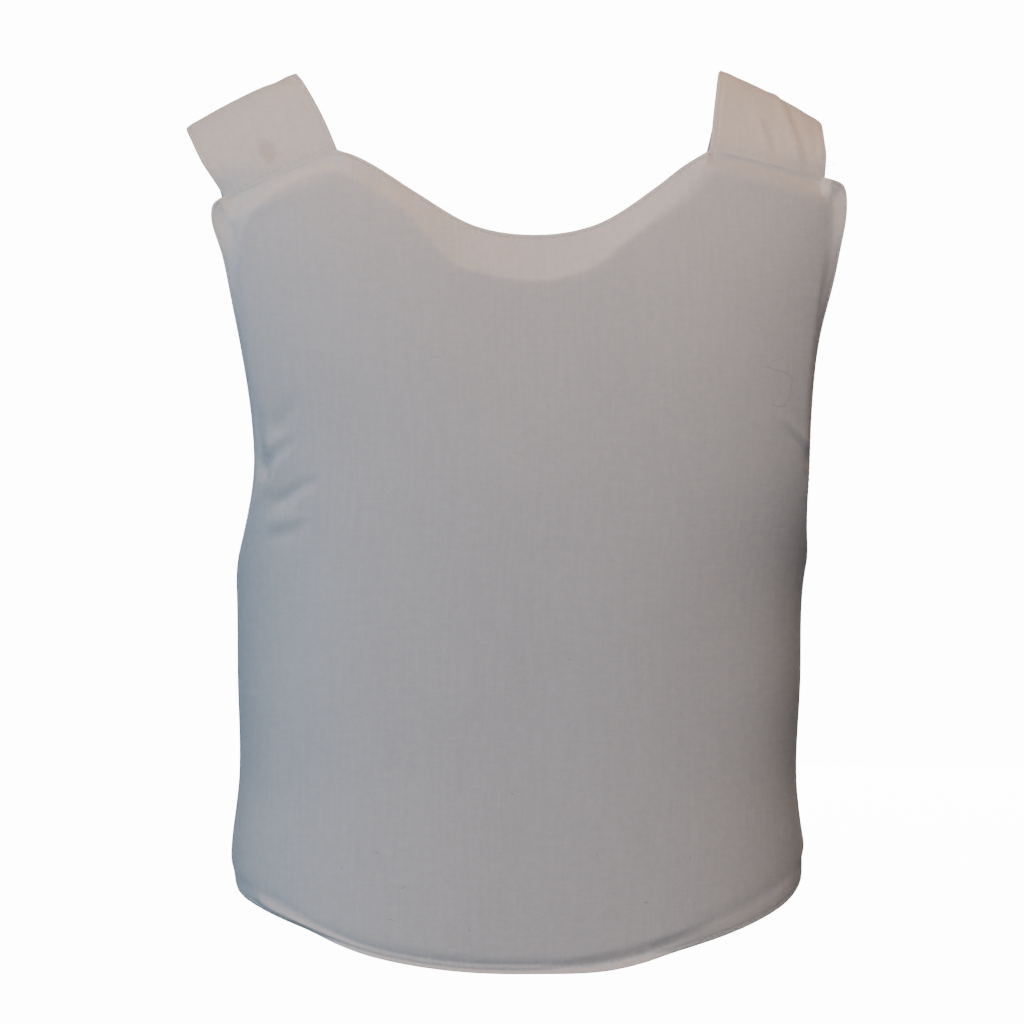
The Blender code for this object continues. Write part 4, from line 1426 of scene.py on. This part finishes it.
def strap_line(layout, start, end, pitch=STITCH_PITCH, length=STITCH_LENGTH, radius=THREAD_RADIUS):
    """Stitches on a strap along a straight line between two places, each a run and a width."""
    start, end = np.array(start), np.array(end)
    reach = np.linalg.norm(end - start)
    count = max(1, int(round(reach / pitch)))
    way = (end - start) / reach
    places = start + way * ((np.arange(count) + 0.5) * reach / count)[:, None]
    spots, outward = sheet_lookup(layout, places)
    ahead, _outward = sheet_lookup(layout, places + way * STRAP_WAY)
    return stitch_mesh(spots + outward * THREAD_LIFT, ahead - spots, outward, length, radius)


def strap_seams(layouts, box):
    """The rows along the edges of both straps of a pair, and the sewn boxes near their ends."""
    parts = []
    for layout in layouts.values():
        length = layout["runs"][-1]
        near, far = STITCH_INSET, layout["widths"][-1] - STITCH_INSET
        lines = [((ROW_ENDS, near), (length - ROW_ENDS, near)), ((ROW_ENDS, far), (length - ROW_ENDS, far)),
                 ((length - END_ROW, near), (length - END_ROW, far))]
        if box:
            low, high, left, right = length - BOX_START, length - BOX_END, near + BOX_INSET, far - BOX_INSET
            corners = [(low, left), (low, right), (high, right), (high, left)]
            lines += list(zip(corners, corners[1:] + corners[:1])) + list(zip(corners[:2], corners[2:]))
        else:
            lines += [((length - SECOND_ROW, near), (length - SECOND_ROW, far))]
        parts += [strap_line(layout, start, end) for start, end in lines]
    return parts


def strap_seam_stitches():
    """The small stitches beside the back panel's top seam, which are finer on the right and dark, as painted
    shade of their needle holes.
    """
    parts = []
    for sign, layout in strap_layouts.items():
        run, far = STRAP_TUCK + SEAM_STITCH_RUN, layout["widths"][-1] - SEAM_STITCH_INSET
        parts.append(strap_line(layout, (run, SEAM_STITCH_INSET), (run, far),
                                SEAM_STITCH_PITCH, SEAM_STITCH_LENGTH, SEAM_THREAD_RADIUS[sign]))
    return parts


thread_piece("shoulder_strap_stitches", strap_seams(strap_layouts, True), sewing_thread)
# These stitches are dark: painted shade of the needle holes beside the seam.
thread_piece("strap_seam_stitches", strap_seam_stitches(), dark_fibre_and_hole_shade)
thread_piece("side_strap_stitches", strap_seams(band_layouts, False), sewing_thread)

# %% [markdown]
# Small things make cloth look used: a hooked thread that lies on the right shoulder blade, a
# frayed end at the right strap, and specks of lint near the hem. Each is a thin tube that
# follows the surface.

# %% Loose threads and lint
HOOKED_THREAD = (
    # girth, height
    (-0.1315, -0.1630),
    (-0.1365, -0.1650),
    (-0.1420, -0.1660),
    (-0.1475, -0.1675),
    (-0.1500, -0.1700),
    (-0.1490, -0.1765),
    (-0.1475, -0.1820),
    (-0.1445, -0.1855),
    (-0.1405, -0.1865),
    (-0.1355, -0.1855),
)
LINT = (
    # girth, height, length, turn in degrees
    (0.0870, -0.4435, 0.0030, 20.0),
    (0.1075, -0.4525, 0.0022, 75.0),
    (0.0720, -0.4625, 0.0026, 140.0),
    (0.0790, -0.4815, 0.0034, 10.0),
    (-0.0365, -0.4445, 0.0024, 60.0),
    (-0.0905, -0.4475, 0.0020, 110.0),
    (0.0120, -0.4090, 0.0018, 35.0),
    (-0.0650, -0.4720, 0.0022, 165.0),
    (0.0350, -0.4870, 0.0018, 95.0),
    (-0.0200, -0.3320, 0.0016, 15.0),
)
FRAY = (
    # x, y, z, from a place on the right strap's outer edge
    (0.0020, 0.0004, -0.0010),
    (-0.0010, 0.0006, 0.0004),
    (-0.0036, 0.0008, 0.0010),
    (-0.0062, 0.0006, 0.0022),
)
FRAY_RUN = 0.0370
TUBE_SIDES, TUBE_TILT = 6, (0.13, 0.21, 0.97)
THREAD_STEPS, FRAY_STEPS = 8, 6
HOOK_RADIUS, LINT_RADIUS, FRAY_RADIUS = 0.00007, 0.00012, 0.00016


def tube(points, radius):
    """A thin closed tube along a line of points, tapered at its ends."""
    ways = unit(np.gradient(points, axis=0))
    across = unit(np.cross(ways, np.array(TUBE_TILT)))
    up = np.cross(ways, across)
    number = np.arange(len(points))
    sizes = (radius * np.minimum(1.0, 0.4 + np.minimum(number, number[::-1]) * 0.3))[:, None, None]
    angles = np.linspace(0.0, 2.0 * np.pi, TUBE_SIDES, endpoint=False)[None, :, None]
    rings = points[:, None] + (across[:, None] * np.cos(angles) + up[:, None] * np.sin(angles)) * sizes
    return rings.reshape(-1, 3), ringed_faces(len(points), TUBE_SIDES)[:, ::-1]


def surface_thread(line, radius):
    """A thread that lies on the back panel's cover."""
    places = curve_through(line, THREAD_STEPS)
    return tube(on_cover(back_plan, places) + form_normal(places[:, 0], places[:, 1]) * radius * 0.4, radius)


def lint_line(girth, height, length, turn):
    """A short curved line for one fibre."""
    angle = np.radians(turn)
    way, bend = np.array([np.cos(angle), np.sin(angle)]), np.array([-np.sin(angle), np.cos(angle)])
    middle = np.array([girth, height])
    return [middle - way * length / 2.0, middle + bend * length * 0.18, middle + way * length / 2.0]


right_strap = strap_layouts[-1.0]
frayed_edge = right_strap["grid"][np.searchsorted(right_strap["runs"], FRAY_RUN), -1]
fray_line = curve_through(frayed_edge + np.array(FRAY), FRAY_STEPS)
fibres = [surface_thread(HOOKED_THREAD, HOOK_RADIUS), tube(fray_line, FRAY_RADIUS)]
fibres += [surface_thread(lint_line(*row), LINT_RADIUS) for row in LINT]
thread_piece("lint_and_threads", fibres, dark_fibre_and_hole_shade)

# %% [markdown]
# The studio is plain: a pale floor that curves up into a wall all round. Cool window light
# comes from the left, warm lamp light from above, and a weak even light from beside the
# camera. The right side turns away from all of them, so it stays darker and warmer. A fill
# light stands on the wearer's front side, which the camera never sees from here. The floor and
# wall only show to the camera and don't light the vest.

# %% The studio
FLOOR_HEIGHT, FLOOR_RADIUS = -0.640, 3.0
WALL_STEPS = ((0.03, 1.10), (0.10, 1.09), (0.20, 1.08), (0.32, 1.06), (0.46, 1.04), (0.60, 1.02), (3.0, 1.0))
VEST_MIDDLE = (0.0, 0.0, -0.26)
LIGHTS = (
    # name, place, side of the square, power, colour
    ("front_light", (-0.4, 3.0, 0.3), 1.8, 18.9, (1.0, 0.92, 0.91)),
    ("window_light", (1.6, 2.6, 0.1), 1.8, 14.6, (0.73, 0.82, 1.0)),
    ("side_light", (2.6, 0.6, 0.2), 1.8, 25.0, (0.45, 0.73, 1.0)),
    ("top_light", (0.1, 0.5, 2.2), 1.6, 25.0, (1.0, 0.52, 0.20)),
    ("lamp_light", (0.0, 1.6, 2.0), 1.6, 23.2, (1.0, 0.81, 0.73)),
    ("fill_light", (-0.7, -2.7, 0.3), 2.0, 24.0, (1.0, 0.97, 0.95)),
)


def studio_bowl(name):
    """A round floor whose rim curves up into a wall."""
    bpy.ops.object.select_all(action="DESELECT")
    bpy.ops.mesh.primitive_circle_add(vertices=96, radius=FLOOR_RADIUS, fill_type="NGON",
                                      location=(0.0, 0.0, FLOOR_HEIGHT))
    bowl = bpy.context.object
    bowl.name = name
    bpy.ops.object.mode_set(mode="EDIT")
    bpy.ops.mesh.select_all(action="SELECT")
    bpy.ops.mesh.region_to_loop()
    for rise, spread in WALL_STEPS:
        bpy.ops.mesh.extrude_region_move(TRANSFORM_OT_translate={"value": (0.0, 0.0, rise)})
        bpy.ops.transform.resize(value=(spread, spread, 1.0), center_override=(0.0, 0.0, 0.0))
    bpy.ops.object.mode_set(mode="OBJECT")
    bpy.ops.object.transform_apply(location=True, rotation=True, scale=True)
    bpy.ops.object.shade_smooth()
    return bowl


def soft_light(name, place, size, power, colour):
    """A square area light that faces the middle of the vest."""
    data = bpy.data.lights.new(name, "AREA")
    data.shape, data.size = "SQUARE", size
    data.energy, data.color = power, colour
    lamp = bpy.data.objects.new(name, data)
    lamp.location = place
    lamp.rotation_mode = "QUATERNION"
    lamp.rotation_quaternion = (Vector(VEST_MIDDLE) - Vector(place)).to_track_quat("-Z", "Y")
    lamp.visible_camera = False
    bpy.context.scene.collection.objects.link(lamp)


studio = studio_bowl("studio_floor")
plaster = Finish("studio_white", 0.9)
for name, value in (("Base Color", (0.86, 0.86, 0.86, 1.0)), ("Emission Color", (1.0, 1.0, 1.0, 1.0)),
                    ("Emission Strength", 14.0)):
    plaster.put(plaster.shader.inputs[name], value)
studio.data.materials.append(plaster.material)
studio.visible_diffuse = studio.visible_glossy = studio.visible_shadow = False

for light in LIGHTS:
    soft_light(*light)
world = bpy.data.worlds.new("studio_air")
world.use_nodes = True
world.node_tree.nodes["Background"].inputs["Color"].default_value = (0.95, 0.96, 1.0, 1.0)
world.node_tree.nodes["Background"].inputs["Strength"].default_value = 0.02
bpy.context.scene.world = world

# %% [markdown]
